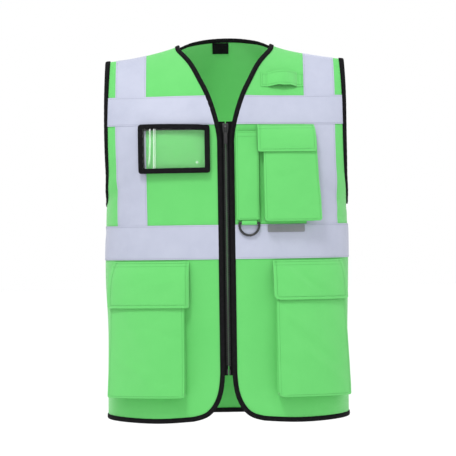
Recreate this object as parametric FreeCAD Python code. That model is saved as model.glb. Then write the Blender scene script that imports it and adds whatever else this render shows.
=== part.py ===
import FreeCAD, Part
import math
import os

# High visibility vest, size L, hanging in the shape that a body gives it. Millimetres.
# +Z is up and z = 0 is the top of the back neckline. The front faces -Y. The wearer's
# right side is at negative x. "Front view" means seen along +Y.

# ---- driving dimensions -------------------------------------------------------------
HALF_WIDTH = 213.0            # centre line to side seam
ARMHOLE_FLARE = 20.0          # how much wider the body form is level with the armholes
ARMHOLE_BOTTOM = -303.0       # lowest point of the armholes
ARMHOLE_BLEND = 103.0         # height over which the body form widens
HEM_Z = -676.0                # bottom edge of the back
FORM_BOTTOM = -720.0          # the body form runs on below the hem, and is cut there
FRONT_DEPTH = 106.0           # front of the chest, ahead of the shoulder line
FRONT_SLOPE = 0.028           # the front leans forward this much per mm of drop
FRONT_CHEST_DROP = 175.0      # drop from the shoulder over which the chest swells
FRONT_CHEST_POWER = 1.5
BACK_DEPTH = 109.0
BACK_DROP = 230.0
BACK_POWER = 2.0
SECTION_POWER = 2.6           # roundness of the horizontal section: 2 would be an ellipse
RIDGE_LOW = -62.0             # shoulder line: level that it falls towards
RIDGE_RISE = 81.7             # shoulder line: rise at the neck
RIDGE_REACH = 135.0           # shoulder line: distance over which it falls
RIDGE_ROUND = 12.0            # rounds the line at the centre
NAPE_RISE = 26.0              # the form runs up behind the neck
NAPE_REACH = 45.0

CLOTH = 0.5                   # half the thickness of the base cloth
BINDING = 1.2                 # half the thickness of the folded binding
BINDING_WIDTH = 8.5
TAPE = 0.4                    # thickness of the reflective tape
GAP = 0.1                     # air between two sewn layers
SEAM_GAP = 0.3                # half the air at the side and shoulder seams
HINGE_GAP = 1.6               # air at the foot of each front armhole binding, for its swing
ZIP_GAP = 6.3                 # centre line to the edge of each front

TAPE_WIDTH = 60.0
WAIST_TOP = -334.0
CHEST_TOP = -108.0
CHEST_TAPE_DROP = 51.0        # the chest tape leans back, so it is lower than it is wide
STRAP_INNER = 139.0           # shoulder tapes, in front view
STRAP_OUTER = 193.0

LABEL_SIDES = (-22.0, 7.5)    # neck label, inside the back
LABEL_TOP = -5.0
LABEL_FOOT = -23.5
LABEL_THICK = 0.6

ZIP_TOP = -160.0
ZIP_BOTTOM = -590.0
TOOTH_PITCH = 4.0
TOOTH_THICK = 2.6
TOOTH_HEIGHT = 1.7
TOOTH_IN = 0.55
TOOTH_OUT = 3.2
ZIP_DEPTH = -1.85             # the chain's middle plane, measured from the cloth
ZIP_TAPE_OUT = 16.0
ZIP_TAPE_THICK = 0.6
ZIP_TAPE_END = 6.0            # zip tape beyond each end of the chain
CHAIN_START = 4.0             # bare tape above the first tooth
CHAIN_BARE = 12.0             # bare tape at the two ends together
PIN_TOP = 5.0                 # insertion pin, measured from the chain's foot
PIN_FOOT = -4.0
BOX_TOP = 4.0                 # retainer box
BOX_FOOT = -5.0

SLIDER_HALF = 5.2
SLIDER_TOP = 3.0
SLIDER_FOOT = -15.0
SLIDER_AIR = 0.5              # between the teeth and each plate of the slider
FRONT_PLATE = 1.6
BACK_PLATE = 0.8
FIN_HALF = 0.25
FIN_FOOT = -3.4
BRIDGE_HALF = 1.2
BRIDGE_OUT = -7.2
BRIDGE_TOP = -1.0
BRIDGE_FOOT = -12.0
BRIDGE_WALL = 1.1
PULL_Y = -5.2                 # axis of the pull, from the chain's middle plane
PULL_Z = -3.4                 # and from the slider's top datum
PULL_HALF = 3.0
PULL_FOOT = -34.0
PULL_THICK = 0.8
PULL_EYE_HALF = 1.7
PULL_EYE_FOOT = -14.0
PULL_BAR = 0.5

POCKET_WALL = 0.8
FLAP_CLOTH = 1.2
HOOK = 0.55                   # thickness of one half of the hook and loop closure
HOOK_GAP = 0.25               # air behind each half

NAMES = {-1: "right", 1: "left"}


# ---- body form ----------------------------------------------------------------------
def smooth(value):
    t = max(0.0, min(1.0, value))
    return t * t * (3.0 - 2.0 * t)


def ridge(x):
    """Height of the shoulder line at x."""
    reach = math.sqrt(x * x + RIDGE_ROUND ** 2)
    nape = NAPE_RISE * math.exp(-(x / NAPE_REACH) ** 2)
    return RIDGE_LOW + RIDGE_RISE * math.exp(-reach / RIDGE_REACH) + nape


def half_width(z):
    return HALF_WIDTH + ARMHOLE_FLARE * smooth((z - ARMHOLE_BOTTOM) / ARMHOLE_BLEND)


def swell(drop, reach, power):
    t = min(1.0, max(0.0, drop / reach))
    return (1.0 - (1.0 - t) ** power) ** (1.0 / power)


def depth(drop, side):
    """Distance of the cloth from the shoulder plane; side is -1 at the front, 1 at the back."""
    if side < 0:
        return FRONT_DEPTH * swell(drop, FRONT_CHEST_DROP, FRONT_CHEST_POWER) + FRONT_SLOPE * drop
    return BACK_DEPTH * swell(drop, BACK_DROP, BACK_POWER)


def form(s, drop_part, side):
    """A point of the form: s runs from -1 to 1 across, drop_part from 0 to 1 down."""
    top = ridge(HALF_WIDTH * s)
    z = top - drop_part * (top - FORM_BOTTOM)
    bow = (1.0 - abs(s) ** SECTION_POWER) ** (1.0 / SECTION_POWER)
    return FreeCAD.Vector(half_width(z) * s, side * depth(top - z, side) * bow, z)


def form_at(x, z, side):
    s = x / half_width(z)
    top = ridge(HALF_WIDTH * s)
    bow = max(0.0, 1.0 - abs(s) ** SECTION_POWER) ** (1.0 / SECTION_POWER)
    return FreeCAD.Vector(x, side * depth(top - z, side) * bow, z)


def on(x, z, out, side=-1):
    """The point that front view shows at x, z, moved out of the cloth by out."""
    step = 0.5
    along_x = form_at(x + step, z, side) - form_at(x - step, z, side)
    along_z = form_at(x, z + step, side) - form_at(x, z - step, side)
    normal = along_x.cross(along_z).normalize() * -side
    return form_at(x, z, side) + normal * out


def form_normal(s, part, side):
    step = 1e-3
    s0 = max(-1.0, s - step)
    s1 = min(1.0, s + step)
    p0 = max(1e-5, part - step)
    p1 = min(1.0, part + step)
    middle = max(1e-5, part)
    along_s = form(s1, middle, side) - form(s0, middle, side)
    down = form(s, p1, side) - form(s, p0, side)
    normal = down.cross(along_s) * -side
    if abs(s) > 0.9999:
        normal = FreeCAD.Vector(math.copysign(1.0, s), 0, 0)
    if part < 1e-6:
        normal = FreeCAD.Vector(normal.x, 0, abs(normal.z) + 1e-9)
    return normal.normalize()


def form_surface(out, side):
    """Half of the form as one smooth surface, moved outwards by out."""
    columns = 36
    rows = 30
    grid = []
    for j in range(rows + 1):
        part = (j / rows) ** 1.6
        row = []
        for i in range(columns + 1):
            angle = math.pi * (i / columns - 0.5)
            s = math.copysign(abs(math.sin(angle)) ** (2.0 / SECTION_POWER), math.sin(angle))
            row.append(form(s, part, side) + form_normal(s, part, side) * out)
        grid.append(row)
    surface = Part.BSplineSurface()
    surface.interpolate(grid)
    return surface


def between(lower, upper):
    """The closed solid between two surfaces that share their parameters."""
    faces = [lower.toShape(), upper.toShape()]
    u0, u1, v0, v1 = lower.bounds()
    for curve, value in (("uIso", u0), ("uIso", u1), ("vIso", v0), ("vIso", v1)):
        edge_a = getattr(lower, curve)(value).toShape()
        edge_b = getattr(upper, curve)(value).toShape()
        faces.append(Part.makeRuledSurface(edge_a, edge_b))
    shell = Part.makeShell(faces)
    shell.sewShape()
    solid = Part.makeSolid(shell)
    if solid.Volume < 0:
        solid.reverse()
    return solid


def beyond(gap, side):
    """All that lies ahead of the shoulder plane, or behind it, by at least gap."""
    size = 900.0
    box = Part.makeBox(size, size, size, FreeCAD.Vector(-size / 2, gap, 50 - size))
    if side < 0:
        box.translate(FreeCAD.Vector(0, -size - 2 * gap, 0))
    return box


LAYERS = {}


def layer(inner, outer, side):
    """Half of the form as a shell from inner to outer, open at the seam plane y = 0."""
    key = (inner, outer, side)
    if key not in LAYERS:
        solid = between(form_surface(inner, side), form_surface(outer, side))
        LAYERS[key] = solid.common(beyond(SEAM_GAP, side))
    return LAYERS[key]


def patch(x0, x1, z0, z1, inner, outer, across=7, down=9):
    """A closed pad on the front, between the depths inner(x, z) and outer(x, z)."""
    surfaces = []
    for out in (inner, outer):
        grid = []
        for j in range(down + 1):
            z = z0 + (z1 - z0) * j / down
            xs = [x0 + (x1 - x0) * i / across for i in range(across + 1)]
            grid.append([on(x, z, out(x, z)) for x in xs])
        surface = Part.BSplineSurface()
        surface.interpolate(grid)
        surfaces.append(surface)
    return between(surfaces[0], surfaces[1])


# ---- outlines in front view ---------------------------------------------------------
def flat(points, side=1):
    return [FreeCAD.Vector(side * x, 0, z) for x, z in points]


def curve(points, side=1):
    spline = Part.BSplineCurve()
    spline.interpolate(flat(points, side))
    return spline.toShape()


def line(points, side=1):
    return Part.makePolygon(flat(points, side))


def prism(*edges):
    """The solid that front view shows inside a closed run of edges."""
    wire = Part.Wire(Part.__sortEdges__([e for part in edges for e in part.Edges]))
    body = Part.Face(wire).extrude(FreeCAD.Vector(0, 600, 0))
    body.translate(FreeCAD.Vector(0, -300, 0))
    return body


def slab(x0, x1, z0, z1):
    size = (abs(x1 - x0), 600, abs(z1 - z0))
    return Part.makeBox(*size, FreeCAD.Vector(min(x0, x1), -300, min(z0, z1)))


NECK = [(86, 4), (79, -18), (49, -66), (29, -104), (12.5, -157), (ZIP_GAP, -186)]
CORNER = [(ZIP_GAP, -592), (9.5, -622), (20, -650), (36, -667), (62, -675.5)]
HEM = [(62, -675.5), (118, -679), (235, -674)]
NECK_IN = [(96, 4), (87.5, -20), (57, -70), (37.5, -108), (21.5, -160), (14.8, -188)]
CORNER_IN = [(14.8, -591), (18, -619), (27, -643), (40, -658.5), (62, -667)]
HEM_IN = [(62, -667), (118, -670.5), (235, -665.5)]
ARMHOLE = [(206, 10), (208, -46), (214, -120), (217, -200), (216, -260), (213.9, -290)]
ARMHOLE_IN = [(199.5, 10), (201.5, -46), (208, -120), (211.6, -200), (212.6, -260), (212.4, -296)]
ARMHOLE_FOOT = -310.0         # just under the lowest point of the armhole bindings
BACK_NECK = [(84, -8), (78, -17), (50, -7), (0, 0.0), (-50, -7), (-78, -17), (-84, -8)]
BACK_NECK_IN = [(96, -8), (86, -22), (52, -15), (0, -7.5), (-52, -15), (-86, -22), (-96, -8)]


def edge_run(neck, corner, hem, side):
    straight = line([neck[-1], corner[0]], side)
    return [curve(neck, side), straight, curve(corner, side), curve(hem, side)]


def side_run(armhole, hem_end, neck_start, side):
    top = (armhole[0][0], 40)
    runs = [line([hem_end, (235, -302), (armhole[-1][0], -302), armhole[-1]], side)]
    runs.append(curve(armhole, side))
    runs.append(line([armhole[0], top, (neck_start[0], 40), neck_start], side))
    return runs


def front_prism(side):
    runs = edge_run(NECK_IN, CORNER_IN, HEM_IN, side)
    return prism(*runs, *side_run(ARMHOLE_IN, HEM_IN[-1], NECK_IN[0], side))


def edge_prism(side):
    outer = edge_run(NECK, CORNER, HEM, side)
    inner = edge_run(NECK_IN, CORNER_IN, HEM_IN, side)
    ends = [line([NECK[0], NECK_IN[0]], side), line([HEM[-1], HEM_IN[-1]], side)]
    return prism(*outer, *inner, *ends)


def armhole_prism(side):
    ends = [line([ARMHOLE[0], ARMHOLE_IN[0]], side), line([ARMHOLE[-1], ARMHOLE_IN[-1]], side)]
    return prism(curve(ARMHOLE, side), curve(ARMHOLE_IN, side), *ends)


def back_prism():
    hem = HEM_Z + BINDING_WIDTH
    runs = [curve(BACK_NECK_IN)]
    for side in (-1, 1):
        low = ARMHOLE_IN[-1]
        high = ARMHOLE_IN[0]
        neck = BACK_NECK_IN[0]
        runs.append(line([(0, hem), (235, hem), (235, -302), (low[0], -302), low], side))
        runs.append(curve(ARMHOLE_IN, side))
        runs.append(line([high, (high[0], 40), (neck[0], 40), neck], side))
    return prism(*runs)


def biggest(shape):
    """The sewn piece without the slivers that a trimmed edge can leave."""
    solids = sorted(shape.Solids, key=lambda s: s.Volume)
    keep = [s for s in solids if s.Volume > 0.02 * solids[-1].Volume]
    return keep[0] if len(keep) == 1 else Part.makeCompound(keep)


# ---- cloth and tapes ----------------------------------------------------------------
def cloth_nodes():
    nodes = {}
    tape_1 = (CLOTH + GAP, CLOTH + GAP + TAPE)
    tape_2 = (tape_1[1] + GAP, tape_1[1] + GAP + TAPE)
    chest = (CHEST_TOP - CHEST_TAPE_DROP, CHEST_TOP)
    waist = (WAIST_TOP - TAPE_WIDTH, WAIST_TOP)
    for side in (-1, 1):
        name = NAMES[side]
        half = slab(0, side * 300, -800, 60)
        panel = front_prism(side)
        strap = slab(side * STRAP_INNER, side * STRAP_OUTER, WAIST_TOP - 8, 60)
        nodes[name + "_front_panel"] = layer(-CLOTH, CLOTH, -1).common(panel)
        nodes[name + "_front_binding"] = layer(-BINDING, BINDING, -1).common(edge_prism(side))
        for part, where, gap in (("front", -1, HINGE_GAP), ("back", 1, SEAM_GAP)):
            band = layer(-BINDING, BINDING, where).common(armhole_prism(side))
            low = slab(-300, 300, ARMHOLE_FOOT, ARMHOLE_FOOT + 60)
            clear = low.cut(beyond(gap, where))
            nodes["%s_%s_armhole_binding" % (name, part)] = band.cut(clear)
        nodes[name + "_shoulder_tape"] = layer(*tape_1, -1).common(strap).common(panel)
        nodes[name + "_chest_tape"] = layer(*tape_2, -1).common(slab(0, side * 300, *chest)).common(panel)
        nodes[name + "_waist_tape"] = layer(*tape_2, -1).common(slab(0, side * 300, *waist)).common(panel)
        back_strap = layer(*tape_1, 1).common(strap).common(back_prism())
        nodes[name + "_back_tape"] = back_strap.common(half)
    back = back_prism()
    nodes["back_panel"] = layer(-CLOTH, CLOTH, 1).common(back)
    for key, span in (("back_chest_tape", chest), ("back_waist_tape", waist)):
        halves = [layer(*tape_2, 1).common(slab(0, side * 300, *span)) for side in (-1, 1)]
        nodes[key] = halves[0].fuse(halves[1]).common(back)
    hem = slab(-300, 300, HEM_Z, HEM_Z + BINDING_WIDTH)
    nodes["back_hem_binding"] = layer(-BINDING, BINDING, 1).common(hem)
    ends = [line([BACK_NECK[i], BACK_NECK_IN[i]]) for i in (0, -1)]
    neck = prism(curve(BACK_NECK), curve(BACK_NECK_IN), *ends)
    nodes["back_neck_binding"] = layer(-BINDING, BINDING, 1).common(neck)
    label = slab(*LABEL_SIDES, LABEL_FOOT, LABEL_TOP)
    nodes["neck_label"] = layer(-BINDING - GAP - LABEL_THICK, -BINDING - GAP, 1).common(label)
    return {key: biggest(shape) for key, shape in nodes.items()}


# ---- zip ----------------------------------------------------------------------------
def zip_y(z):
    """Middle plane of the chain: the front's centre line is straight from the zip's top down."""
    return form_at(0, z, -1).y - ZIP_DEPTH


def tilted(shape, z):
    """Leans a piece built upright at z = 0 to the slope of the zip and sets it at height z."""
    lean = math.degrees(math.atan(FRONT_SLOPE))
    shape.rotate(FreeCAD.Vector(0, 0, 0), FreeCAD.Vector(1, 0, 0), -lean)
    shape.translate(FreeCAD.Vector(0, zip_y(z), z))
    return shape


def block(x0, x1, y0, y1, z0, z1):
    low = FreeCAD.Vector(min(x0, x1), y0, z0)
    return Part.makeBox(abs(x1 - x0), y1 - y0, z1 - z0, low)


def chain_nodes():
    nodes = {}
    length = ZIP_TOP - ZIP_BOTTOM
    half = TOOTH_THICK / 2
    cloth = ZIP_TAPE_THICK / 2
    for side in (-1, 1):
        name = NAMES[side]
        inner = side * (TOOTH_OUT + GAP)
        foot = -length - ZIP_TAPE_END
        strip = block(inner, side * ZIP_TAPE_OUT, -cloth, cloth, foot, ZIP_TAPE_END)
        nodes[name + "_zip_tape"] = tilted(strip, ZIP_TOP)
        teeth = []
        start = CHAIN_START + (side + 1) * TOOTH_PITCH / 4
        for i in range(int((length - CHAIN_BARE) / TOOTH_PITCH)):
            top = -start - i * TOOTH_PITCH
            teeth.append(block(side * TOOTH_IN, side * TOOTH_OUT, -half, half, top - TOOTH_HEIGHT, top))
        nodes[name + "_zip_teeth"] = tilted(Part.makeCompound(teeth), ZIP_TOP)
    pin = block(-TOOTH_IN, -TOOTH_OUT, -half, half, PIN_FOOT, PIN_TOP)
    nodes["zip_insertion_pin"] = tilted(pin, ZIP_BOTTOM)
    box = block(TOOTH_IN, TOOTH_OUT, -half - 0.6, half + 0.2, BOX_FOOT, BOX_TOP)
    nodes["zip_retainer_box"] = tilted(box, ZIP_BOTTOM)
    return nodes


def slider_nodes():
    near = TOOTH_THICK / 2 + SLIDER_AIR
    wide = SLIDER_HALF
    face = -near - FRONT_PLATE
    front = block(-wide, wide, face, -near, SLIDER_FOOT, SLIDER_TOP)
    back = block(-wide, wide, near, near + BACK_PLATE, SLIDER_FOOT, SLIDER_TOP)
    fin = block(-FIN_HALF, FIN_HALF, -near - GAP, near + GAP, FIN_FOOT, SLIDER_TOP)
    bridge = block(-BRIDGE_HALF, BRIDGE_HALF, BRIDGE_OUT, face + GAP, BRIDGE_FOOT, BRIDGE_TOP)
    eye = (BRIDGE_OUT + BRIDGE_WALL, face - 0.8, BRIDGE_FOOT + BRIDGE_WALL, BRIDGE_TOP - BRIDGE_WALL)
    bridge = bridge.cut(block(-2 * BRIDGE_HALF, 2 * BRIDGE_HALF, *eye))
    slider = tilted(front.fuse([back, fin, bridge]).removeSplitter(), ZIP_TOP)
    thick = PULL_THICK / 2
    plate = block(-PULL_HALF, PULL_HALF, PULL_Y - thick, PULL_Y + thick, PULL_FOOT, PULL_Z)
    through = (PULL_Y - 2, PULL_Y + 2, PULL_EYE_FOOT, PULL_Z + 1)
    plate = plate.cut(block(-PULL_EYE_HALF, PULL_EYE_HALF, *through))
    end = FreeCAD.Vector(-PULL_HALF, PULL_Y, PULL_Z)
    bar = Part.makeCylinder(PULL_BAR, 2 * PULL_HALF, end, FreeCAD.Vector(1, 0, 0))
    return {"zip_slider": slider, "zip_pull": tilted(plate.fuse(bar).removeSplitter(), ZIP_TOP)}


# ---- pockets: each box is x0, x1, z0, z1 in front view --------------------------------
LOWER_IN = {-1: 75.0, 1: 84.0}         # inner edge of each lower pocket
LOWER_OUT = 195.0
LOWER_FOOT = -634.0
LOWER_MOUTH = -430.0
LOWER_DEPTHS = (22.0, 12.0)             # how far a pocket stands out at its foot and mouth
LOWER_FLAP_TOP = -397.0
LOWER_FLAP_FOOT = {-1: -478.0, 1: -466.0}
LOWER_FLAP_IN = {-1: 66.0, 1: 79.0}
LOWER_FLAP_BOW = (2.0, 17.6, 0.042)     # depth at the seam, growth below it, rate of growth
CLOSURE_HALF = 30.0                     # hook and loop patch of a lower pocket
CLOSURE_TALL = 20.0
CLOSURE_UP = 8.0                        # from the flap's foot

PHONE_SEAT = (58.0, 138.6, -333.0, -164.0)
SEAT_DEPTHS = (0.9, 1.4)
PHONE_POCKET = (65.0, 155.5, -329.0, -184.0)
PHONE_DEPTHS = (22.0, 10.0)
PHONE_FLAP = (55.0, 154.0, -208.0, -160.5)
PHONE_FLAP_BOW = (2.2, 14.6, 0.075)
PHONE_CLOSURE = (92.0, 130.0, -204.0, -190.0)
PEN_POCKET = (19.0, 56.5, -326.0, -172.0)
PEN_DEPTHS = (7.2, 7.2)


def level(value):
    """A depth that is the same everywhere."""
    return lambda x, z: value


def bag(box, depths, base=CLOTH + GAP):
    """A gusset pocket open at its top, and the depth of its outer face."""
    x0, x1, z0, z1 = box
    foot, mouth = depths
    wall = POCKET_WALL

    def inside(x, z):
        return base + foot + (mouth - foot) * (z - z0) / (z1 - z0)

    def outside(x, z):
        return inside(x, z) + wall

    outer = patch(x0, x1, z0, z1, level(base), outside, 9, 13)
    inner = patch(x0 + wall, x1 - wall, z0 + wall, z1 + 6, level(base - 2.0), inside, 9, 13)
    return outer.cut(inner), outside


def flap(box, bow):
    """A flap sewn at its top edge that bows out over the mouth of its pocket."""
    x0, x1, z0, z1 = box
    start, growth, rate = bow

    def inside(x, z):
        return start + growth * (1.0 - math.exp(-rate * (z1 - z)))

    def outside(x, z):
        return inside(x, z) + FLAP_CLOTH

    return patch(x0, x1, z0, z1, inside, outside, 7, 12), inside


def hook_and_loop(box, bag_out, flap_in):
    """The loop half on the pocket and the hook half inside the flap."""
    def loop_in(x, z):
        return bag_out(x, z) + HOOK_GAP

    def loop_out(x, z):
        return loop_in(x, z) + HOOK

    def hook_out(x, z):
        return flap_in(x, z) - HOOK_GAP

    def hook_in(x, z):
        return hook_out(x, z) - HOOK

    return patch(*box, loop_in, loop_out, 5, 5), patch(*box, hook_in, hook_out, 5, 5)


def lower_pocket_nodes():
    nodes = {}
    for side in (-1, 1):
        name = NAMES[side]
        x0, x1 = sorted((side * LOWER_IN[side], side * LOWER_OUT))
        sack, sack_out = bag((x0, x1, LOWER_FOOT, LOWER_MOUTH), LOWER_DEPTHS)
        f0, f1 = sorted((side * LOWER_FLAP_IN[side], side * (LOWER_OUT + 1.5)))
        foot = LOWER_FLAP_FOOT[side]
        cover, cover_in = flap((f0, f1, foot, LOWER_FLAP_TOP), LOWER_FLAP_BOW)
        middle = (x0 + x1) / 2
        low = foot + CLOSURE_UP
        box = (middle - CLOSURE_HALF, middle + CLOSURE_HALF, low, low + CLOSURE_TALL)
        loop, hook = hook_and_loop(box, sack_out, cover_in)
        nodes[name + "_lower_pocket"] = sack
        nodes[name + "_pocket_flap"] = cover
        nodes[name + "_pocket_loop_patch"] = loop
        nodes[name + "_flap_hook_patch"] = hook
    return nodes


def chest_pocket_nodes():
    nodes = {}
    nodes["phone_pocket_base"] = patch(*PHONE_SEAT, level(SEAT_DEPTHS[0]), level(SEAT_DEPTHS[1]), 9, 19)
    sack, sack_out = bag(PHONE_POCKET, PHONE_DEPTHS, SEAT_DEPTHS[1] + GAP)
    cover, cover_in = flap(PHONE_FLAP, PHONE_FLAP_BOW)
    loop, hook = hook_and_loop(PHONE_CLOSURE, sack_out, cover_in)
    nodes["phone_pocket"] = sack
    nodes["phone_pocket_flap"] = cover
    nodes["phone_pocket_loop_patch"] = loop
    nodes["phone_flap_hook_patch"] = hook
    nodes["pen_pocket"], _ = bag(PEN_POCKET, PEN_DEPTHS)
    return nodes


# ---- small pieces of the chest ------------------------------------------------------
ID_POCKET = (-150.0, -27.5, -243.0, -160.0)
ID_RIM = 7.5                  # width of the binding round the window
ID_DEPTHS = (2.0, 10.4)       # back and front of the binding, measured from the cloth
ID_SLOT = (3.1, 9.3)          # the open end, between the two films
FILM_BACK = (2.4, 2.9)
FILM_FRONT = (9.4, 9.9)

BADGE_STRIP = (64.0, 138.0, -92.0, -67.0)
BADGE_SEWN = 11.0             # length sewn down at each end
BADGE_LOW = 0.7
BADGE_RISE = 8.5
BADGE_THICK = 1.0
BADGE_POWER = 0.7

RING_X = 39.0
RING_BAR_Z = -331.5
RING_HALF = 17.0
RING_WIRE = 2.1
RING_SIDE = 4.5
RING_OUT = 5.0                # bar's axis, measured from the cloth
TAB_HALF = 13.0
TAB_ROLL = 3.9                # radius of the webbing round the bar
TAB_HOLE = RING_WIRE + 0.5
TAB_TALL = 4.6                # from the bar up to the foot of the pen pocket
TAB_THICK = 2.6
TAB_OUT = 1.5                 # back of the webbing, clear of the cloth

TAG = (71.0, 135.0, -348.0, -335.0)
TAG_DEPTHS = (1.7, 2.3)


def pad(box, depths):
    """A flat patch between two depths, sampled as finely as the pockets."""
    return patch(*box, level(depths[0]), level(depths[1]))


def id_pocket_nodes():
    x0, x1, z0, z1 = ID_POCKET
    rim = ID_RIM
    window = (x0 + rim, x1 - rim, z0 + rim, z1 - rim)
    frame = pad(ID_POCKET, ID_DEPTHS).cut(pad(window, (ID_DEPTHS[0] - 2, ID_DEPTHS[1] + 2)))
    frame = frame.cut(pad((x0 - 3, x0 + rim + 3, z0 + rim, z1 - rim), ID_SLOT))
    film = (window[0] + GAP, window[1] - GAP, window[2] + GAP, window[3] - GAP)
    front = pad(film, FILM_FRONT)
    back = pad(film, FILM_BACK)
    return {"id_pocket_binding": frame, "id_pocket_front_film": front, "id_pocket_back_film": back}


def badge_strip():
    x0, x1, _, _ = BADGE_STRIP
    free = x1 - x0 - 2 * BADGE_SEWN

    def inside(x, z):
        span = max(0.0, min(1.0, (x - x0 - BADGE_SEWN) / free))
        return BADGE_LOW + BADGE_RISE * math.sin(math.pi * span) ** BADGE_POWER

    def outside(x, z):
        return inside(x, z) + BADGE_THICK

    return patch(*BADGE_STRIP, inside, outside, 18, 3)


def ring_nodes():
    centre = on(RING_X, RING_BAR_Z, RING_OUT)
    across = FreeCAD.Vector(1, 0, 0)
    down = FreeCAD.Vector(0, -FRONT_SLOPE, -1).normalize()
    ring = Part.makeCylinder(RING_WIRE, 2 * RING_HALF, centre - across * RING_HALF, across)
    solids = []
    for end in (-1, 1):
        corner = centre + across * (end * RING_HALF)
        solids.append(Part.makeSphere(RING_WIRE, corner))
        solids.append(Part.makeCylinder(RING_WIRE, RING_SIDE, corner, down))
    foot = centre + down * RING_SIDE
    start = foot - across * RING_HALF
    arc = Part.Arc(start, foot + down * RING_HALF, foot + across * RING_HALF)
    circle = Part.Wire(Part.makeCircle(RING_WIRE, start, down))
    solids.append(Part.Wire(arc.toShape()).makePipeShell([circle], True, True))
    ring = ring.fuse(solids).removeSplitter()
    loop = Part.makeCylinder(TAB_ROLL, 2 * TAB_HALF, centre - across * TAB_HALF, across)
    seat = on(RING_X, RING_BAR_Z, TAB_OUT)
    tail = Part.makeBox(2 * TAB_HALF, TAB_THICK, TAB_TALL)
    tail.translate(seat - FreeCAD.Vector(TAB_HALF, TAB_THICK, 0))
    hole = Part.makeCylinder(TAB_HOLE, 4 * TAB_HALF, centre - across * (2 * TAB_HALF), across)
    return {"d_ring": ring, "d_ring_tab": loop.fuse(tail).cut(hole)}


# ---- write the parts ----------------------------------------------------------------
def main():
    os.makedirs("parts", exist_ok=True)
    nodes = cloth_nodes()
    for group in (chain_nodes, slider_nodes, lower_pocket_nodes, chest_pocket_nodes):
        nodes.update(group())
    nodes.update(id_pocket_nodes())
    nodes.update(ring_nodes())
    nodes["badge_strip"] = badge_strip()
    nodes["grey_tag"] = pad(TAG, TAG_DEPTHS)
    for name, shape in nodes.items():
        if not shape.isValid() or shape.Volume <= 0:
            print("check", name, shape.isValid(), shape.Volume)
        shape.exportStep("parts/%s.step" % name)
    print(len(nodes), "nodes")


main()
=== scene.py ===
import math

import bmesh
import bpy
import numpy as np
from mathutils import Matrix, Vector


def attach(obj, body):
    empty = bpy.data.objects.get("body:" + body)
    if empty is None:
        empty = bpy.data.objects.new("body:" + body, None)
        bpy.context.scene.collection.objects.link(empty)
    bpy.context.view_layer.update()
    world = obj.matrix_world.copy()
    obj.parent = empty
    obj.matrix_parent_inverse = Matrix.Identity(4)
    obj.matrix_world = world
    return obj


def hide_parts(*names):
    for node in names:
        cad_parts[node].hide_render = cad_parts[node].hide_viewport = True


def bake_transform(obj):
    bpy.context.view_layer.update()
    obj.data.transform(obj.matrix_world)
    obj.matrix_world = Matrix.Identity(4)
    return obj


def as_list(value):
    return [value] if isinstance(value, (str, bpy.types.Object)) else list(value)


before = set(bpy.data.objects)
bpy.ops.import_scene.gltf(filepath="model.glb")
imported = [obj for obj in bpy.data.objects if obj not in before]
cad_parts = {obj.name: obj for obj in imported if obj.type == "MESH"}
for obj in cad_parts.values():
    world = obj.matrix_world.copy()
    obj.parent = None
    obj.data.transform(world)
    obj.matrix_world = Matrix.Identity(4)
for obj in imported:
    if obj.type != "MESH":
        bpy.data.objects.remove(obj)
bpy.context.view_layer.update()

# High visibility vest: cloth, bands, bindings, pockets, zip and card sleeve around the CAD frame.
# Lengths are in millimetres in the layout code below, and make turns them into metres.
# The front faces -Y. side is -1 at the front and 1 at the back; hand is -1 on the wearer's
# right and 1 on the wearer's left.

MM = 0.001
SEED = 11

# ---- body form, the same as the CAD's ------------------------------------------------
HALF_WIDTH = 213.0
ARMHOLE_FLARE = 20.0
ARMHOLE_BOTTOM = -303.0
ARMHOLE_BLEND = 103.0
FRONT_DEPTH = 106.0
FRONT_SLOPE = 0.028
FRONT_DROP = 175.0
FRONT_POWER = 1.5
BACK_DEPTH = 109.0
BACK_DROP = 230.0
BACK_POWER = 2.0
SECTION_POWER = 2.6
HEM_Z = -676.0
ZIP_GAP = 6.3
NAME = {-1: "right", 1: "left"}

NECK = [(80.0, -15.4), (78.7, -19), (72.6, -27), (59.0, -43), (48.2, -61), (39.2, -79),
        (30.7, -96), (23.5, -114), (17.6, -132), (12.2, -152), (8.2, -170), (ZIP_GAP, -186)]
CORNER = [(ZIP_GAP, -592), (9.5, -622), (20, -650), (36, -667), (62, -675.5)]
HEM = [(62, -675.5), (118, -679), (214, -675)]
ARMHOLE = [(212, 10), (212.6, -46), (213.2, -120), (213.6, -200), (213.8, -260), (213.9, -290)]
ARMHOLE_IN = [(205.5, 10), (206, -46), (207.2, -120), (208.4, -200), (210.6, -260), (212.4, -298.5)]
BACK_NECK = [(-80, -15.8), (-70, -11.3), (-60, -7.2), (-46, -3.2), (-25, 0.6), (0, 2.2),
             (25, 0.6), (46, -3.2), (60, -7.2), (70, -11.3), (80, -15.8)]

CHEST = (-159.0, -108.0)
WAIST = (-394.0, -334.0)
STRAP = (139.0, 193.0)
TAPE_OUT = 1.25               # the bands round the body lie this far out of the cloth
STRAP_OUT = 0.62              # and the bands over the shoulders under them
TAPE_THICK = 0.35
SEAM_INSET = 2.2              # rows of stitches lie this far in from a band's edges
SIDE_SEAM_TOP = -296.0        # the armholes end just above this height


def smooth(value):
    t = np.clip(value, 0.0, 1.0)
    return t * t * (3.0 - 2.0 * t)


def bump(value):
    return np.exp(-np.square(value))


def unit(v):
    return v / np.maximum(np.linalg.norm(v, axis=-1, keepdims=True), 1e-9)


def travel(points):
    """Distance along a polyline at each of its points."""
    return np.concatenate([[0], np.cumsum(np.linalg.norm(np.diff(points, axis=0), axis=1))])


def sample(points, length, at):
    return np.stack([np.interp(at, length, points[:, k]) for k in range(points.shape[1])], -1)


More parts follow.
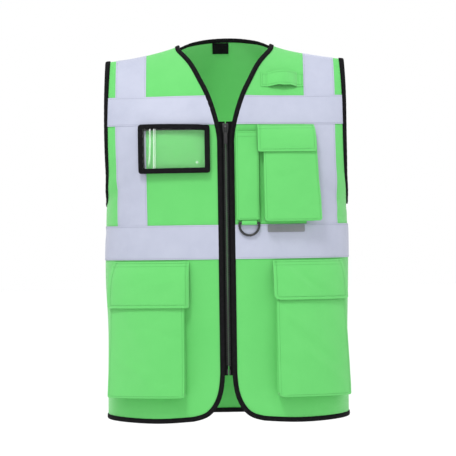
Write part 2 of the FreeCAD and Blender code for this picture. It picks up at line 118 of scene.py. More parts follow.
def ridge(x):
    reach = np.sqrt(x * x + 12.0 ** 2)
    return -62.0 + 81.7 * np.exp(-reach / 135.0) + 26.0 * np.exp(-(x / 45.0) ** 2)


def half_width(z):
    return HALF_WIDTH + ARMHOLE_FLARE * smooth((z - ARMHOLE_BOTTOM) / ARMHOLE_BLEND)


def crest(x):
    """Height of the shoulder seam at x, a hair under its top."""
    return ridge(x * HALF_WIDTH / half_width(ridge(x))) - 0.002


def depth(drop, side):
    reach, power = (FRONT_DROP, FRONT_POWER) if side < 0 else (BACK_DROP, BACK_POWER)
    t = np.clip(drop / reach, 0.0, 1.0)
    swell = (1.0 - (1.0 - t) ** power) ** (1.0 / power)
    if side < 0:
        return FRONT_DEPTH * swell + FRONT_SLOPE * drop
    return BACK_DEPTH * swell


def form(angle, z, side):
    """Points of the form: angle runs from -90 to 90 degrees across, z down."""
    s = np.sign(angle) * np.abs(np.sin(angle)) ** (2.0 / SECTION_POWER)
    bow = np.abs(np.cos(angle)) ** (2.0 / SECTION_POWER)
    drop = np.maximum(ridge(HALF_WIDTH * s) - z, 0.0)
    return np.stack([half_width(z) * s, side * depth(drop, side) * bow, z + 0 * s], -1)


def angle_of(x, z):
    s = np.clip(x / half_width(z), -1.0, 1.0)
    return np.sign(s) * np.arcsin(np.abs(s) ** (SECTION_POWER / 2.0))


def normal_of(angle, z, side):
    step = 2e-3
    a0 = np.clip(angle - step, -math.pi / 2, math.pi / 2)
    a1 = np.clip(angle + step, -math.pi / 2, math.pi / 2)
    s = np.sign(angle) * np.abs(np.sin(angle)) ** (2.0 / SECTION_POWER)
    top = ridge(HALF_WIDTH * s)
    z1 = np.minimum(z, top - 0.05)
    across = form(a1, z1, side) - form(a0, z1, side)
    up = form(angle, z1 + 0.04, side) - form(angle, z1 - 0.3, side)
    n = unit(np.cross(across, up) * -side)
    rim = smooth((np.abs(angle) - 1.52) / 0.05)[..., None]
    out = np.stack([np.sign(angle), 0 * angle, 0 * angle], -1)
    n = n * (1 - rim) + out * rim
    return unit(n)


_rng = np.random.default_rng(SEED)
WAVES = []
for _ in range(18):
    length = _rng.uniform(70, 240)
    lean = _rng.normal(0.0, 0.55)
    turn = _rng.uniform(0, 2 * math.pi)
    flat = np.array([math.cos(lean) * math.cos(turn), math.cos(lean) * math.sin(turn), math.sin(lean)])
    WAVES.append((flat * 2 * math.pi / length, _rng.uniform(0, 6.28), length / 240 * 0.55))


def drape(p, side):
    """How far the cloth stands off the plain form: soft folds, none beside the zip."""
    total = np.zeros(p.shape[:-1])
    for k, phase, height in WAVES:
        total = total + height * np.sin(p @ k + phase)
    x, z = np.abs(p[..., 0]), p[..., 2]
    hand = np.sign(p[..., 0])
    low = smooth((-z - 400) / 200)
    fold = 1.5 * low * np.sin(p[..., 0] / 23.0 + 0.012 * z) * bump((x - 175) / 60)
    fold = fold - 1.6 * bump((z + 0.75 * x + 135 + 8 * hand) / 13) * smooth((x - 110) / 80)
    fold = fold + 1.2 * bump((z + 0.75 * x + 110) / 17) * smooth((x - 120) / 70)
    fold = fold - 1.1 * bump((z + 0.35 * x + 262 - 9 * hand) / 10) * smooth((x - 120) / 60)
    total = total + fold
    if side < 0:
        total = total * smooth((x - 16) / 45)
    return total


def put(angle, z, side, out=0.0):
    """Cloth points and normals at an angle and a height, moved out of the cloth by out."""
    angle, z = np.broadcast_arrays(np.asarray(angle, float), np.asarray(z, float))
    base = form(angle, z, side)
    n = normal_of(angle, z, side)
    return base + n * (np.asarray(out) + drape(base, side))[..., None], n


def on(x, z, out=0.0, side=-1):
    x, z = np.broadcast_arrays(np.asarray(x, float), np.asarray(z, float))
    return put(angle_of(x, z), z, side, out)


# ---- curves -------------------------------------------------------------------------
def spline(points, count):
    """A smooth curve through the points, as count points evenly spaced."""
    pts = np.array(points, float)
    if len(pts) == 2:
        return pts[0] + (pts[1] - pts[0]) * np.linspace(0, 1, count)[:, None]
    t = travel(pts)
    h = np.diff(t)
    n = len(pts)
    a = np.eye(n)
    b = np.zeros_like(pts)
    for i in range(1, n - 1):
        a[i, i - 1:i + 2] = h[i - 1], 2 * (h[i - 1] + h[i]), h[i]
        b[i] = 6 * ((pts[i + 1] - pts[i]) / h[i] - (pts[i] - pts[i - 1]) / h[i - 1])
    m = np.linalg.solve(a, b)
    u = np.linspace(0, t[-1], count * 6)
    i = np.clip(np.searchsorted(t, u) - 1, 0, n - 2)
    d0, d1, hh = (u - t[i])[:, None], (t[i + 1] - u)[:, None], h[i][:, None]
    out = m[i] * d1 ** 3 / (6 * hh) + m[i + 1] * d0 ** 3 / (6 * hh)
    out = out + (pts[i] / hh - m[i] * hh / 6) * d1 + (pts[i + 1] / hh - m[i + 1] * hh / 6) * d0
    return even(out, count)


def even(points, count):
    """The same polyline with count points evenly spaced."""
    length = travel(points)
    return sample(points, length, np.linspace(0, length[-1], count))


def front_edge(hand):
    """Outline of a front from the neck, down beside the zip and round to the side seam."""
    seam = np.array([[NECK[0][0], crest(NECK[0][0])]])
    parts = [seam, spline(NECK, 90)[1:], spline([NECK[-1], CORNER[0]], 160)[1:]]
    parts += [spline(CORNER, 50)[1:], spline(HEM, 70)[1:]]
    return np.concatenate(parts) * [hand, 1.0]


def armhole_line(hand):
    """Armhole edge as x at each height, from the shoulder seam to the side seam."""
    run = spline(ARMHOLE, 8000)
    keep = (run[:, 1] < crest(run[:, 0])) & (run[:, 0] < half_width(run[:, 1]) - 0.0005)
    run = run[keep]
    foot = [[half_width(run[-1, 1]) - 1e-5, run[-1, 1] - 0.02]]
    return np.concatenate([run, foot]) * [hand, 1.0]


def surface_path(run, side, count):
    """3-D points and normals along a run of x, z points, evenly spaced on the cloth."""
    fine = even(run, count * 12)
    p, n = on(fine[:, 0], fine[:, 1], 0.0, side)
    both = np.concatenate([p, n], 1)
    length = travel(p)
    both = sample(both, length, np.linspace(0, length[-1], count))
    return both[:, :3], unit(both[:, 3:])


# ---- meshes -------------------------------------------------------------------------
def make(name, verts, faces, kind, body, node=None, cloth=None, sharp=None):
    """A piece in place of a CAD node. body is a body's name, or a hand: then the piece's placement is
    baked into its mesh and it joins no body.
    """
    material, slot = M[kind]
    mesh = bpy.data.meshes.new(name)
    mesh.from_pydata((np.asarray(verts) * MM).tolist(), [], [tuple(int(i) for i in f) for f in faces])
    mesh.validate()
    shell = bmesh.new()
    shell.from_mesh(mesh)
    bmesh.ops.recalc_face_normals(shell, faces=shell.faces)
    shell.to_mesh(mesh)
    shell.free()
    if cloth is not None and len(cloth) == len(mesh.vertices):
        layer = mesh.attributes.new("cloth", "FLOAT_VECTOR", "POINT")
        layer.data.foreach_set("vector", (np.asarray(cloth) * MM).astype(np.float32).ravel())
    mesh.shade_smooth()
    if sharp:
        mesh.set_sharp_from_angle(angle=math.radians(sharp))
    mesh.materials.append(material)
    obj = bpy.data.objects.new(name, mesh)
    bpy.context.scene.collection.objects.link(obj)
    if isinstance(body, int):
        fold_with_front(obj)
    else:
        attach(obj, body)
    if node:
        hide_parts(node)
    return obj


def grid_normals(p):
    du = np.gradient(p, axis=1)
    dv = np.gradient(p, axis=0)
    return unit(np.cross(du, dv))


def cloth_lengths(p):
    """Distances along the rows and down the columns, for weaves that follow the cloth."""
    du = np.linalg.norm(np.diff(p, axis=1), axis=-1)
    dv = np.linalg.norm(np.diff(p, axis=0), axis=-1)
    u = np.concatenate([np.zeros((p.shape[0], 1)), np.cumsum(du, 1)], 1)
    v = np.concatenate([np.zeros((1, p.shape[1])), np.cumsum(dv, 0)], 0)
    mid = u[:, u.shape[1] // 2:u.shape[1] // 2 + 1]
    return np.stack([u - mid, v, 0 * u], -1)


def slab_mesh(p, thick, keep=None, n=None):
    """Vertices, faces and cloth lengths of a sheet with two sides and closed edges."""
    rows, cols = p.shape[:2]
    n = grid_normals(p) if n is None else n
    top = p + n * thick * 0.5
    bottom = p - n * thick * 0.5
    verts = np.concatenate([top.reshape(-1, 3), bottom.reshape(-1, 3)])
    cl = cloth_lengths(p).reshape(-1, 3)
    cl = np.concatenate([cl, cl + [0, 0, 5.0]])
    cells = np.ones((rows - 1, cols - 1), bool) if keep is None else keep
    r, c = np.nonzero(cells)
    i = r * cols + c
    quad = np.stack([i, i + 1, i + cols + 1, i + cols], -1)
    under = quad[:, ::-1] + rows * cols
    edges = np.concatenate([quad[:, [k, (k + 1) % 4]] for k in range(4)])
    key = np.sort(edges, 1)
    key = key[:, 0] * (rows * cols) + key[:, 1]
    _, index, count = np.unique(key, return_index=True, return_counts=True)
    rim = edges[index[count == 1]]
    wall = np.stack([rim[:, 1], rim[:, 0], rim[:, 0] + rows * cols, rim[:, 1] + rows * cols], -1)
    faces = np.concatenate([quad, under, wall])
    used = np.unique(faces)
    renumber = np.full(len(verts), -1)
    renumber[used] = np.arange(len(used))
    return verts[used], renumber[faces], cl[used]


def sheet_piece(name, p, thick, kind, body, node, keep=None, n=None):
    verts, faces, cloth = slab_mesh(p, thick, keep, n)
    return make(name, verts, faces, kind, body, node, cloth, 40)


def ring_faces(k, m, closed):
    """Faces over k rings of m points each, with a cap at both ends unless the rings close."""
    faces = [(i * m + j, i * m + (j + 1) % m, (i + 1) % k * m + (j + 1) % m, (i + 1) % k * m + j)
             for i in range(k if closed else k - 1) for j in range(m)]
    if not closed:
        faces += [tuple(range(m))[::-1], tuple((k - 1) * m + j for j in range(m))]
    return faces


def sweep_mesh(path, normals, profile, closed=False, ease=None):
    """A strip swept along a path. The profile is (inwards, outwards) pairs, in order round."""
    if closed:
        tangent = np.roll(path, -1, 0) - np.roll(path, 1, 0)
    else:
        tangent = np.gradient(path, axis=0)
    tangent = unit(tangent)
    inward = unit(np.cross(normals, tangent))
    normals = np.cross(tangent, inward)
    prof = np.asarray(profile, float)
    k, m = len(path), len(prof)
    scale = np.ones(k) if ease is None else ease
    verts = path[:, None, :] + inward[:, None, :] * prof[None, :, :1]
    verts = verts + normals[:, None, :] * (prof[None, :, 1:] * scale[:, None, None])
    girth = travel(prof)
    length = travel(path)
    cloth = np.stack(np.broadcast_arrays(length[:, None], girth[None, :], 0.0), -1)
    return verts.reshape(-1, 3), ring_faces(k, m, closed), cloth.reshape(-1, 3)


class Stitches:
    """Rows of separate thread stitches, gathered into one mesh for each body and colour."""

    def __init__(self):
        self.groups = {}

    def run(self, group, path, normals, pitch=3.4, long=2.3, thick=0.34):
        length = travel(path)
        count = int(length[-1] / pitch)
        u = (np.arange(count) + 0.5) * length[-1] / count
        at = sample(path, length, u)
        t = unit(sample(path, length, u + 0.6) - sample(path, length, u - 0.6))
        n = unit(sample(normals, length, u))
        b = np.cross(n, t)
        self.groups.setdefault(group, []).append((at + n * 0.1, t, b, n, long / 2, thick))

    def build(self, group, kind, body):
        rings = [(-1.0, 0.25), (-0.72, 0.8), (0.0, 1.0), (0.72, 0.8), (1.0, 0.25)]
        sides = 6
        verts, faces, base = [], [], 0
        for at, t, b, n, half, thick in self.groups[group]:
            block = []
            for along, wide in rings:
                for k in range(sides):
                    turn = 2 * math.pi * k / sides
                    sink = -0.35 * thick * along * along
                    ring = t * (along * half) + b * (wide * thick * math.cos(turn))
                    block.append(at + ring + n * (wide * thick * 0.8 * math.sin(turn) + sink))
            block = np.stack(block, 1)
            per = len(rings) * sides
            cell = []
            for r in range(len(rings) - 1):
                for k in range(sides):
                    a, c = r * sides + k, r * sides + (k + 1) % sides
                    cell.append((a, c, c + sides, a + sides))
            cell = np.array(cell)
            offset = base + np.arange(len(at))[:, None, None] * per
            verts.append(block.reshape(-1, 3))
            faces.append((cell[None] + offset).reshape(-1, 4))
            base += len(at) * per
        make(group + "_stitches", np.concatenate(verts), np.concatenate(faces), kind, body)


STITCH = Stitches()
FINE = (3.0, 2.0, 0.28)       # pitch, length and thickness of the stitches in bindings
SHORT = (3.0, 2.0)            # the same with thicker thread


def sew(group, x, z, out, side=-1, thread=()):
    """A row of stitches along x, z points, at a depth out of the cloth."""
    p, n = on(x, z, out, side)
    STITCH.run(group, p, n, *thread)


def fold_with_front(obj):
    """Bakes the piece's placement into its mesh, leaving it without a body."""
    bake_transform(obj)


def hang(over):
    """Takes the name or names of the cloth a piece lies over; nothing is done with them."""
    over = [over] if isinstance(over, str) else over
    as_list(over)


# ---- materials ----------------------------------------------------------------------
class Shader:
    def __init__(self, name, rough, specular=0.5):
        self.mat = bpy.data.materials.new(name)
        self.mat.use_nodes = True
        self.tree = self.mat.node_tree
        self.bsdf = self.tree.nodes["Principled BSDF"]
        self.set(Roughness=rough, Specular_IOR_Level=specular)

    def node(self, kind, **values):
        n = self.tree.nodes.new(kind)
        for key, value in values.items():
            if key in n.inputs:
                n.inputs[key].default_value = value
            else:
                setattr(n, key, value)
        return n

    def set(self, **values):
        for key, value in values.items():
            self.bsdf.inputs[key.replace("_", " ")].default_value = value

    def link(self, a, b):
        self.tree.links.new(a, b)

    def cloth(self):
        return self.node("ShaderNodeAttribute", attribute_name="cloth").outputs["Vector"]

    def place(self):
        return self.node("ShaderNodeTexCoord").outputs["Object"]

    def math(self, operation, a, b):
        n = self.node("ShaderNodeMath", operation=operation)
        for socket, value in zip(n.inputs, (a, b)):
            if isinstance(value, (int, float)):
                socket.default_value = value
            else:
                self.link(value, socket)
        return n.outputs[0]

    def wave(self, vector, scale, direction, distort, detail, dscale):
        n = self.node("ShaderNodeTexWave", wave_type="BANDS", bands_direction=direction, Scale=scale,
                      Distortion=distort, Detail=detail, **{"Detail Scale": dscale})
        self.link(vector, n.inputs["Vector"])
        return n.outputs["Fac"]

    def noise(self, vector, scale, detail=2.0, rough=0.5):
        n = self.node("ShaderNodeTexNoise", Scale=scale, Detail=detail, Roughness=rough)
        self.link(vector, n.inputs["Vector"])
        return n.outputs["Fac"]

    def ramp(self, fac, stops):
        n = self.node("ShaderNodeValToRGB")
        while len(n.color_ramp.elements) < len(stops):
            n.color_ramp.elements.new(0.5)
        for element, (at, colour) in zip(n.color_ramp.elements, stops):
            element.position = at
            element.color = (*colour, 1.0)
        self.link(fac, n.inputs["Fac"])
        return n.outputs["Color"]

    def multiply(self, a, b):
        """Two colours multiplied; a Mix node's colours are its sockets 6 and 7, and 2 comes out."""
        n = self.node("ShaderNodeMix", data_type="RGBA", blend_type="MULTIPLY")
        n.inputs[0].default_value = 1.0
        self.link(a, n.inputs[6])
        self.link(b, n.inputs[7])
        return n.outputs[2]

    def bump(self, height, distance, strength, before=None):
        n = self.node("ShaderNodeBump", Strength=strength, Distance=distance)
        self.link(height, n.inputs["Height"])
        if before is not None:
            self.link(before, n.inputs["Normal"])
        return n.outputs["Normal"]

    def done(self, colour, normal, rough=None):
        self.link(colour, self.bsdf.inputs["Base Color"])
        self.link(normal, self.bsdf.inputs["Normal"])
        if rough is not None:
            self.link(rough, self.bsdf.inputs["Roughness"])
        return self.mat


def woven(name, light, dark, pitch=0.55, sheen=0.25, rough=0.82):
    """Plain weave: threads over and under, with slubs, soft mottling and a little wear."""
    s = Shader(name, rough, specular=0.25)
    v = s.cloth()
    scale = 1000.0 / pitch / 6.2832 * 3.14159    # two threads to each wave
    warp = s.wave(v, scale, "X", 0.6, 1.0, 2.0)
    weft = s.wave(v, scale, "Y", 0.6, 1.0, 2.0)
    weave = s.math("MAXIMUM", warp, weft)
    slub = s.noise(v, 900.0, 2.0)
    mottle = s.noise(s.place(), 38.0, 4.0, 0.6)
    broad = s.noise(s.place(), 7.0, 2.0)
    shade = s.math("ADD", s.math("MULTIPLY", mottle, 0.45), s.math("MULTIPLY", broad, 0.55))
    colour = s.ramp(shade, [(0.25, dark), (0.75, light)])
    thread = s.ramp(weave, [(0.15, (0.86, 0.86, 0.86)), (0.9, (1.04, 1.04, 1.04))])
    colour = s.multiply(colour, thread)
    low = s.bump(s.noise(s.place(), 120.0, 3.0, 0.6), 0.0006, 0.35)
    mid = s.bump(slub, 0.00012, 0.5, low)
    fine = s.bump(weave, 0.00014, 0.7, mid)
    s.set(Sheen_Weight=sheen, Sheen_Roughness=0.5)
    return s.done(colour, fine)


def reflective(name):
    """Grey retroreflective tape: a bead coat on cloth, finely grained, faintly creased."""
    s = Shader(name, 0.5, specular=0.45)
    v = s.cloth()
    beads = s.noise(v, 5200.0, 2.0, 0.7)
    ribs = s.wave(v, 420.0, "Y", 0.8, 2.0, 3.0)
    cloud = s.noise(s.place(), 26.0, 5.0, 0.65)
    crease = s.noise(s.place(), 75.0, 6.0, 0.7)
    colour = s.ramp(cloud, [(0.3, (0.362, 0.382, 0.48)), (0.7, (0.395, 0.415, 0.513))])
    grain = s.ramp(beads, [(0.3, (0.93, 0.93, 0.93)), (0.7, (1.05, 1.05, 1.05))])
    colour = s.multiply(colour, grain)
    n = s.bump(crease, 0.0009, 0.35)
    n = s.bump(ribs, 0.00006, 0.4, n)
    n = s.bump(beads, 0.00008, 0.4, n)
    rough = s.math("ADD", s.math("MULTIPLY", beads, 0.25), 0.36)
    return s.done(colour, n, rough)


def ribbed_black(name, pitch=0.9, tint=(0.0055, 0.0053, 0.006)):
    """Black bias binding or webbing: cross ribs, lint and rubbed high spots."""
    s = Shader(name, 0.85, specular=0.06)
    v = s.cloth()
    ribs = s.wave(v, 1000.0 / pitch / 2.0, "X", 0.4, 1.0, 2.0)
    rows = s.wave(v, 1600.0, "Y", 0.4, 1.0, 2.0)
    weave = s.math("MAXIMUM", ribs, s.math("MULTIPLY", rows, 0.7))
    lint = s.noise(s.place(), 260.0, 4.0, 0.7)
    worn = tuple(c * 2.4 for c in tint)
    colour = s.ramp(lint, [(0.42, tint), (0.78, worn)])
    thread = s.ramp(weave, [(0.1, (0.6, 0.6, 0.6)), (0.9, (1.25, 1.25, 1.25))])
    colour = s.multiply(colour, thread)
    n = s.bump(s.noise(s.place(), 150.0, 3.0), 0.0005, 0.35)
    n = s.bump(weave, 0.00018, 0.8, n)
    return s.done(colour, n)


def moulded(name, light, dark, rough, grain=900.0):
    """Moulded plastic or enamel with a fine grain, handling marks and scratches."""
    s = Shader(name, rough)
    v = s.place()
    patch = s.noise(v, 60.0, 4.0, 0.6)
    fine = s.noise(v, grain, 3.0, 0.6)
    marks = s.noise(v, 340.0, 8.0, 0.8)
    colour = s.ramp(patch, [(0.35, dark), (0.7, light)])
    n = s.bump(fine, 0.00005, 0.4)
    n = s.bump(marks, 0.00012, 0.25, n)
    rough_out = s.math("ADD", s.math("MULTIPLY", marks, 0.3), rough - 0.12)
    return s.done(colour, n, rough_out)


def clear_film(name, alpha):
    """Clear flexible film with a soft haze and scuffs; along its fold lines the crease attribute makes it
    near-opaque and pale, as painted glare.
    """
    s = Shader(name, 0.12)
    v = s.place()
    haze = s.noise(v, 45.0, 5.0, 0.7)
    scuff = s.noise(v, 700.0, 6.0, 0.8)
    colour = s.ramp(haze, [(0.3, (0.80, 0.90, 0.83)), (0.7, (0.96, 1.0, 0.97))])
    crease = s.node("ShaderNodeAttribute", attribute_name="crease").outputs["Fac"]
    cover = s.math("ADD", s.math("MULTIPLY", haze, 0.012), alpha)
    cover = s.math("ADD", cover, s.math("MULTIPLY", scuff, 0.006))
    # painted glare: the crease attribute raises the cover to near-opaque along the fold lines, so the pale
    # film colour shows there as glare
    cover = s.math("ADD", cover, s.math("MULTIPLY", crease, 0.6))
    s.link(cover, s.bsdf.inputs["Alpha"])
    n = s.bump(haze, 0.0012, 0.4)
    n = s.bump(scuff, 0.00003, 0.2, n)
    s.set(Coat_Weight=0.2, Coat_Roughness=0.06)
    return s.done(colour, n)


def pile(name, light, dark):
    """Hook or loop pile: a dense fuzz of tiny loops in rows."""
    s = Shader(name, 0.95, specular=0.15)
    v = s.cloth()
    tufts = s.node("ShaderNodeTexVoronoi", Scale=1500.0)
    s.link(v, tufts.inputs["Vector"])
    rows = s.wave(v, 500.0, "X", 1.5, 2.0, 3.0)
    colour = s.ramp(tufts.outputs["Distance"], [(0.1, light), (0.75, dark)])
    n = s.bump(tufts.outputs["Distance"], 0.0006, 0.9)
    n = s.bump(rows, 0.0003, 0.4, n)
    s.set(Sheen_Weight=0.3)
    return s.done(colour, n)


GREEN_LIGHT = (0.121, 0.530, 0.132)
GREEN_DARK = (0.102, 0.492, 0.114)
# each material with its slot in the part's look
M = {
    "cloth": (woven("vest_cloth", GREEN_LIGHT, GREEN_DARK), "hi_vis_cloth"),
    "tape": (reflective("reflective_tape"), "reflective_tape"),
    "binding": (ribbed_black("bias_binding"), "binding"),
    "zip_cloth": (ribbed_black("zip_tape", 0.7, (0.004, 0.004, 0.0045)), "zip_cloth"),
    "teeth": (moulded("zip_teeth", (0.022, 0.021, 0.023), (0.012, 0.012, 0.013), 0.35), "zip_plastic"),
    "metal": (moulded("zip_enamel", (0.012, 0.012, 0.013),
                      (0.006, 0.006, 0.007), 0.35, 500.0), "zip_metal"),
    "film": (clear_film("clear_film", 0.006), "clear_film"),
    "back_film": (clear_film("back_film", 0.003), "clear_film"),
    "pile": (pile("hook_and_loop", (0.17, 0.56, 0.18), (0.05, 0.24, 0.07)), "hook_and_loop"),
    "label": (ribbed_black("woven_label", 0.5, (0.004, 0.004, 0.0045)), "label"),
    "tag": (moulded("soft_tag", (0.20, 0.205, 0.225), (0.17, 0.175, 0.195), 0.5, 1500.0), "tag"),
    "ring": (moulded("ring_plastic", (0.014, 0.014, 0.016),
                     (0.009, 0.009, 0.01), 0.32, 1400.0), "ring_plastic"),
    # the green and grey thread is real thread, coloured darker than the cloth and tape it is sewn into as
    # painted shade, so that rows of stitches read as shaded seam lines
    "thread": (woven("green_thread_with_painted_shade", (0.075, 0.36, 0.08),
                     (0.05, 0.27, 0.055), 0.25, 0.1, 0.7), "hi_vis_cloth"),
    "black_thread": (ribbed_black("black_thread", 0.3, (0.007, 0.007, 0.008)), "binding"),
    "grey_thread_with_painted_shade": (woven("grey_thread_with_painted_shade", (0.34, 0.36, 0.46),
                          (0.28, 0.30, 0.38), 0.25, 0.1, 0.7), "reflective_tape"),
}

# ---- columns and rows of the large cloth grids ---------------------------------------
ANGLES = np.linspace(-math.pi / 2, math.pi / 2, 4001)
WAIST_HEIGHT = -450.0
COLUMNS, ROWS = 201, 230
FRONT_FOOT = -684.0           # the fronts' grid ends here, below their hem
BESIDE, ABOVE, BELOW = 260.0, 60.0, -700.0    # outlines are closed here, clear of the cloth


def even_angles(count):
    """Angles that space the columns evenly round the form at waist height."""
    length = travel(form(ANGLES, WAIST_HEIGHT, -1))
    return np.interp(np.linspace(0, length[-1], count), length, ANGLES)


def cloth_grid(angles, side, bottom):
    """A grid from the shoulder line down to the given height."""
    s = np.sign(angles) * np.abs(np.sin(angles)) ** (2.0 / SECTION_POWER)
    top = ridge(HALF_WIDTH * s) - 0.02
    drop = np.linspace(0, 1, ROWS) ** 1.25
    z = top[None, :] + (bottom - top[None, :]) * drop[:, None]
    return put(angles, z, side)


def inside(points, outline):
    """Which x, z points lie inside a closed outline."""
    x, z = points[..., 0], points[..., 1]
    hit = np.zeros(x.shape, bool)
    a, b = outline, np.roll(outline, -1, 0)
    for (x0, z0), (x1, z1) in zip(a, b):
        if z0 == z1:
            continue
        cross = (z0 > z) != (z1 > z)
        hit ^= cross & (x < (x1 - x0) * (z - z0) / (z1 - z0) + x0)
    return hit


def cells_inside(p, outline):
    centre = (p[:-1, :-1] + p[1:, 1:] + p[1:, :-1] + p[:-1, 1:]) / 4
    return inside(centre[..., [0, 2]], outline)


def armhole_middle():
    return (spline(ARMHOLE, 60) + spline(ARMHOLE_IN, 60)) / 2


HEM_SEAM = 6.9                # the row of stitches in a binding lies this far in
BINDING_PROFILE = [
    (8.6, 0.75), (8.3, 1.55), (7.5, 1.6), (6.9, 1.25), (6.2, 1.65), (4.4, 1.95), (2.2, 1.9),
    (0.7, 1.3), (0.0, 0.1), (0.6, -1.1), (2.2, -1.55), (5.0, -1.6), (8.2, -1.3), (8.5, -0.7)]


def folded_strip(name, path, n, profile, ease, body, node):
    verts, faces, cloth = sweep_mesh(path, n, profile, ease=ease)
    return make(name, verts, faces, "binding", body, node, cloth, 50)


def binding(name, run, side, count, hand_in, group, node, body, broad=1.0):
    """A folded strip over a cut edge; hand_in says on which side of the run the cloth lies."""
    path, n = surface_path(run, side, count)
    prof = [(b * hand_in * broad, o) for b, o in BINDING_PROFILE]
    if hand_in < 0:
        prof = prof[::-1]
    rng = np.random.default_rng(len(name) * 7 + count)
    ease = 1 + 0.07 * np.sin(np.arange(count) * 0.9 + rng.uniform(0, 6)) + rng.normal(0, 0.03, count)
    obj = folded_strip(name, path, n, prof, ease, body, node)
    b = np.cross(n, unit(np.gradient(path, axis=0))) * hand_in
    STITCH.run(group, path + b * HEM_SEAM * broad + n * 1.3, n, *FINE)
    return obj


def armhole_binding(hand, side, hand_in, group, name, node, body):
    """The binding of one side of an armhole, from the shoulder seam to its foot."""
    run = armhole_line(hand)
    run = np.concatenate([[[run[0, 0], crest(run[0, 0])]], run])
    return binding(name, run, side, 170, hand_in, group, node, body, broad=1.1)


def shoulder_band(hand, side, name, node, body, over, group):
    """A reflective band from the shoulder seam to the waist band, with its rows of stitches."""
    x = np.linspace(STRAP[0], STRAP[1], 14) * hand
    top = crest(x)
    z = top[None, :] + (WAIST[1] - 8 - top[None, :]) * (np.linspace(0, 1, 110) ** 1.2)[:, None]
    q, qn = on(x, z, STRAP_OUT, side)
    band = sheet_piece(name, q, TAPE_THICK, "tape", body, node, n=qn)
    hang(over)
    for v in (STRAP[0] + SEAM_INSET, STRAP[1] - SEAM_INSET):
        for z0, z1 in ((ridge(v) - 1, CHEST[1]), (CHEST[0], WAIST[1])):
            sew(group, v * hand, np.linspace(z0, z1, 60), STRAP_OUT + 0.28, side)


def round_band(name, node, body, z, angles, side, over):
    """A reflective band round the body, on a grid of angles at the heights z."""
    q, qn = put(angles, z[:, None], side, TAPE_OUT)
    band = sheet_piece(name, q, TAPE_THICK, "tape", body, node, n=qn)
    hang(over)


def front_pieces(hand):
    name = NAME[hand]
    black, grey = name + "_black", name + "_grey"
    angles = even_angles(COLUMNS)
    angles = angles[angles > 0.0] if hand > 0 else angles[angles < 0.0]
    p, n = cloth_grid(angles, -1, FRONT_FOOT)
    line = np.concatenate([spline(NECK, 60), spline(CORNER, 30), spline(HEM, 30)]) * [hand, 1.0]
    t = unit(np.gradient(line, axis=0))
    line = line + np.stack([-t[:, 1], t[:, 0]], -1) * CUT_IN * hand
    arm = armhole_middle()[::-1] * [hand, 1.0]
    far = [[hand * BESIDE, line[-1, 1]], [hand * BESIDE, SIDE_SEAM_TOP], [arm[0, 0], SIDE_SEAM_TOP]]
    outline = np.concatenate([line, far, arm, [[arm[-1, 0], ABOVE], [line[0, 0], ABOVE]]])
    panel = sheet_piece(name + "_front_cloth", p, CLOTH_THICK, "cloth", hand, name + "_front_panel",
                        cells_inside(p, outline), n)
    hem = binding(name + "_edge_binding", front_edge(hand), -1, 520, hand, black,
                  name + "_front_binding", hand)
    rim = armhole_binding(hand, -1, -hand, black, name + "_armhole_binding_front",
                          name + "_front_armhole_binding", hand)
    hang("back_cloth")
    share = np.linspace(0, 1, 70)
    for key, (z0, z1), body, long in (("chest", CHEST, hand, 190), ("waist", WAIST, name + "_front", 240)):
        z = np.linspace(z1, z0, 15)
        start = angle_of(np.array([inner_edge(v) for v in z]), z)
        stop = outer_angle(z, BAND_SHORT) - SEAM_GAP / SEAM_RUN * (z < SIDE_SEAM_TOP)
        angles = hand * (start[:, None] + (stop - start)[:, None] * share[None, :])
        round_band("%s_%s_band" % (name, key), "%s_%s_tape" % (name, key), body, z, angles, -1,
                   name + "_front_cloth")
        for v in (z0 + SEAM_INSET, z1 - SEAM_INSET):
            first = angle_of(inner_edge(v) + 2, v)
            last = outer_angle(v, THREAD_SHORT) - THREAD_GAP / SEAM_RUN
            turn = hand * (first + (last - first) * share)
            STITCH.run(grey, *put(turn, v, -1, TAPE_OUT + 0.25))
    shoulder_band(hand, -1, name + "_shoulder_band", name + "_shoulder_tape", hand,
                  name + "_front_cloth", grey)


SEAM_RUN = 330.0              # mm of cloth to the radian at the side seam
SEAM_GAP = 1.8                # left by the waist bands at the seam, so that the fronts can swing
THREAD_GAP = 2.0
BAND_SHORT = 4.5              # bands stop this far short of an armhole's edge
THREAD_SHORT = 7.0            # and their stitches this far
CLOTH_THICK = 0.6
CUT_IN = 4.2                  # the cloth is cut this far inside the bindings' run


def inner_edge(z):
    """x of the edge of a front at height z, under its binding."""
    run = np.concatenate([spline(NECK, 80), spline(CORNER, 40)])
    return float(np.interp(-z, -run[:, 1], run[:, 0])) + 8.2


def outer_angle(z, short):
    """Angle of the outer end of a band at height z: the side seam, or short of the armhole."""
    z = np.asarray(z, float)
    arm = armhole_middle()
    x = np.interp(-z, -arm[:, 1], arm[:, 0])
    end = angle_of(np.minimum(x, half_width(z)), z)
    run = np.linalg.norm(form(end, z, -1) - form(end - 0.01, z, -1), axis=-1) / 0.01
    return np.where(z < SIDE_SEAM_TOP, math.pi / 2, end - short / run)


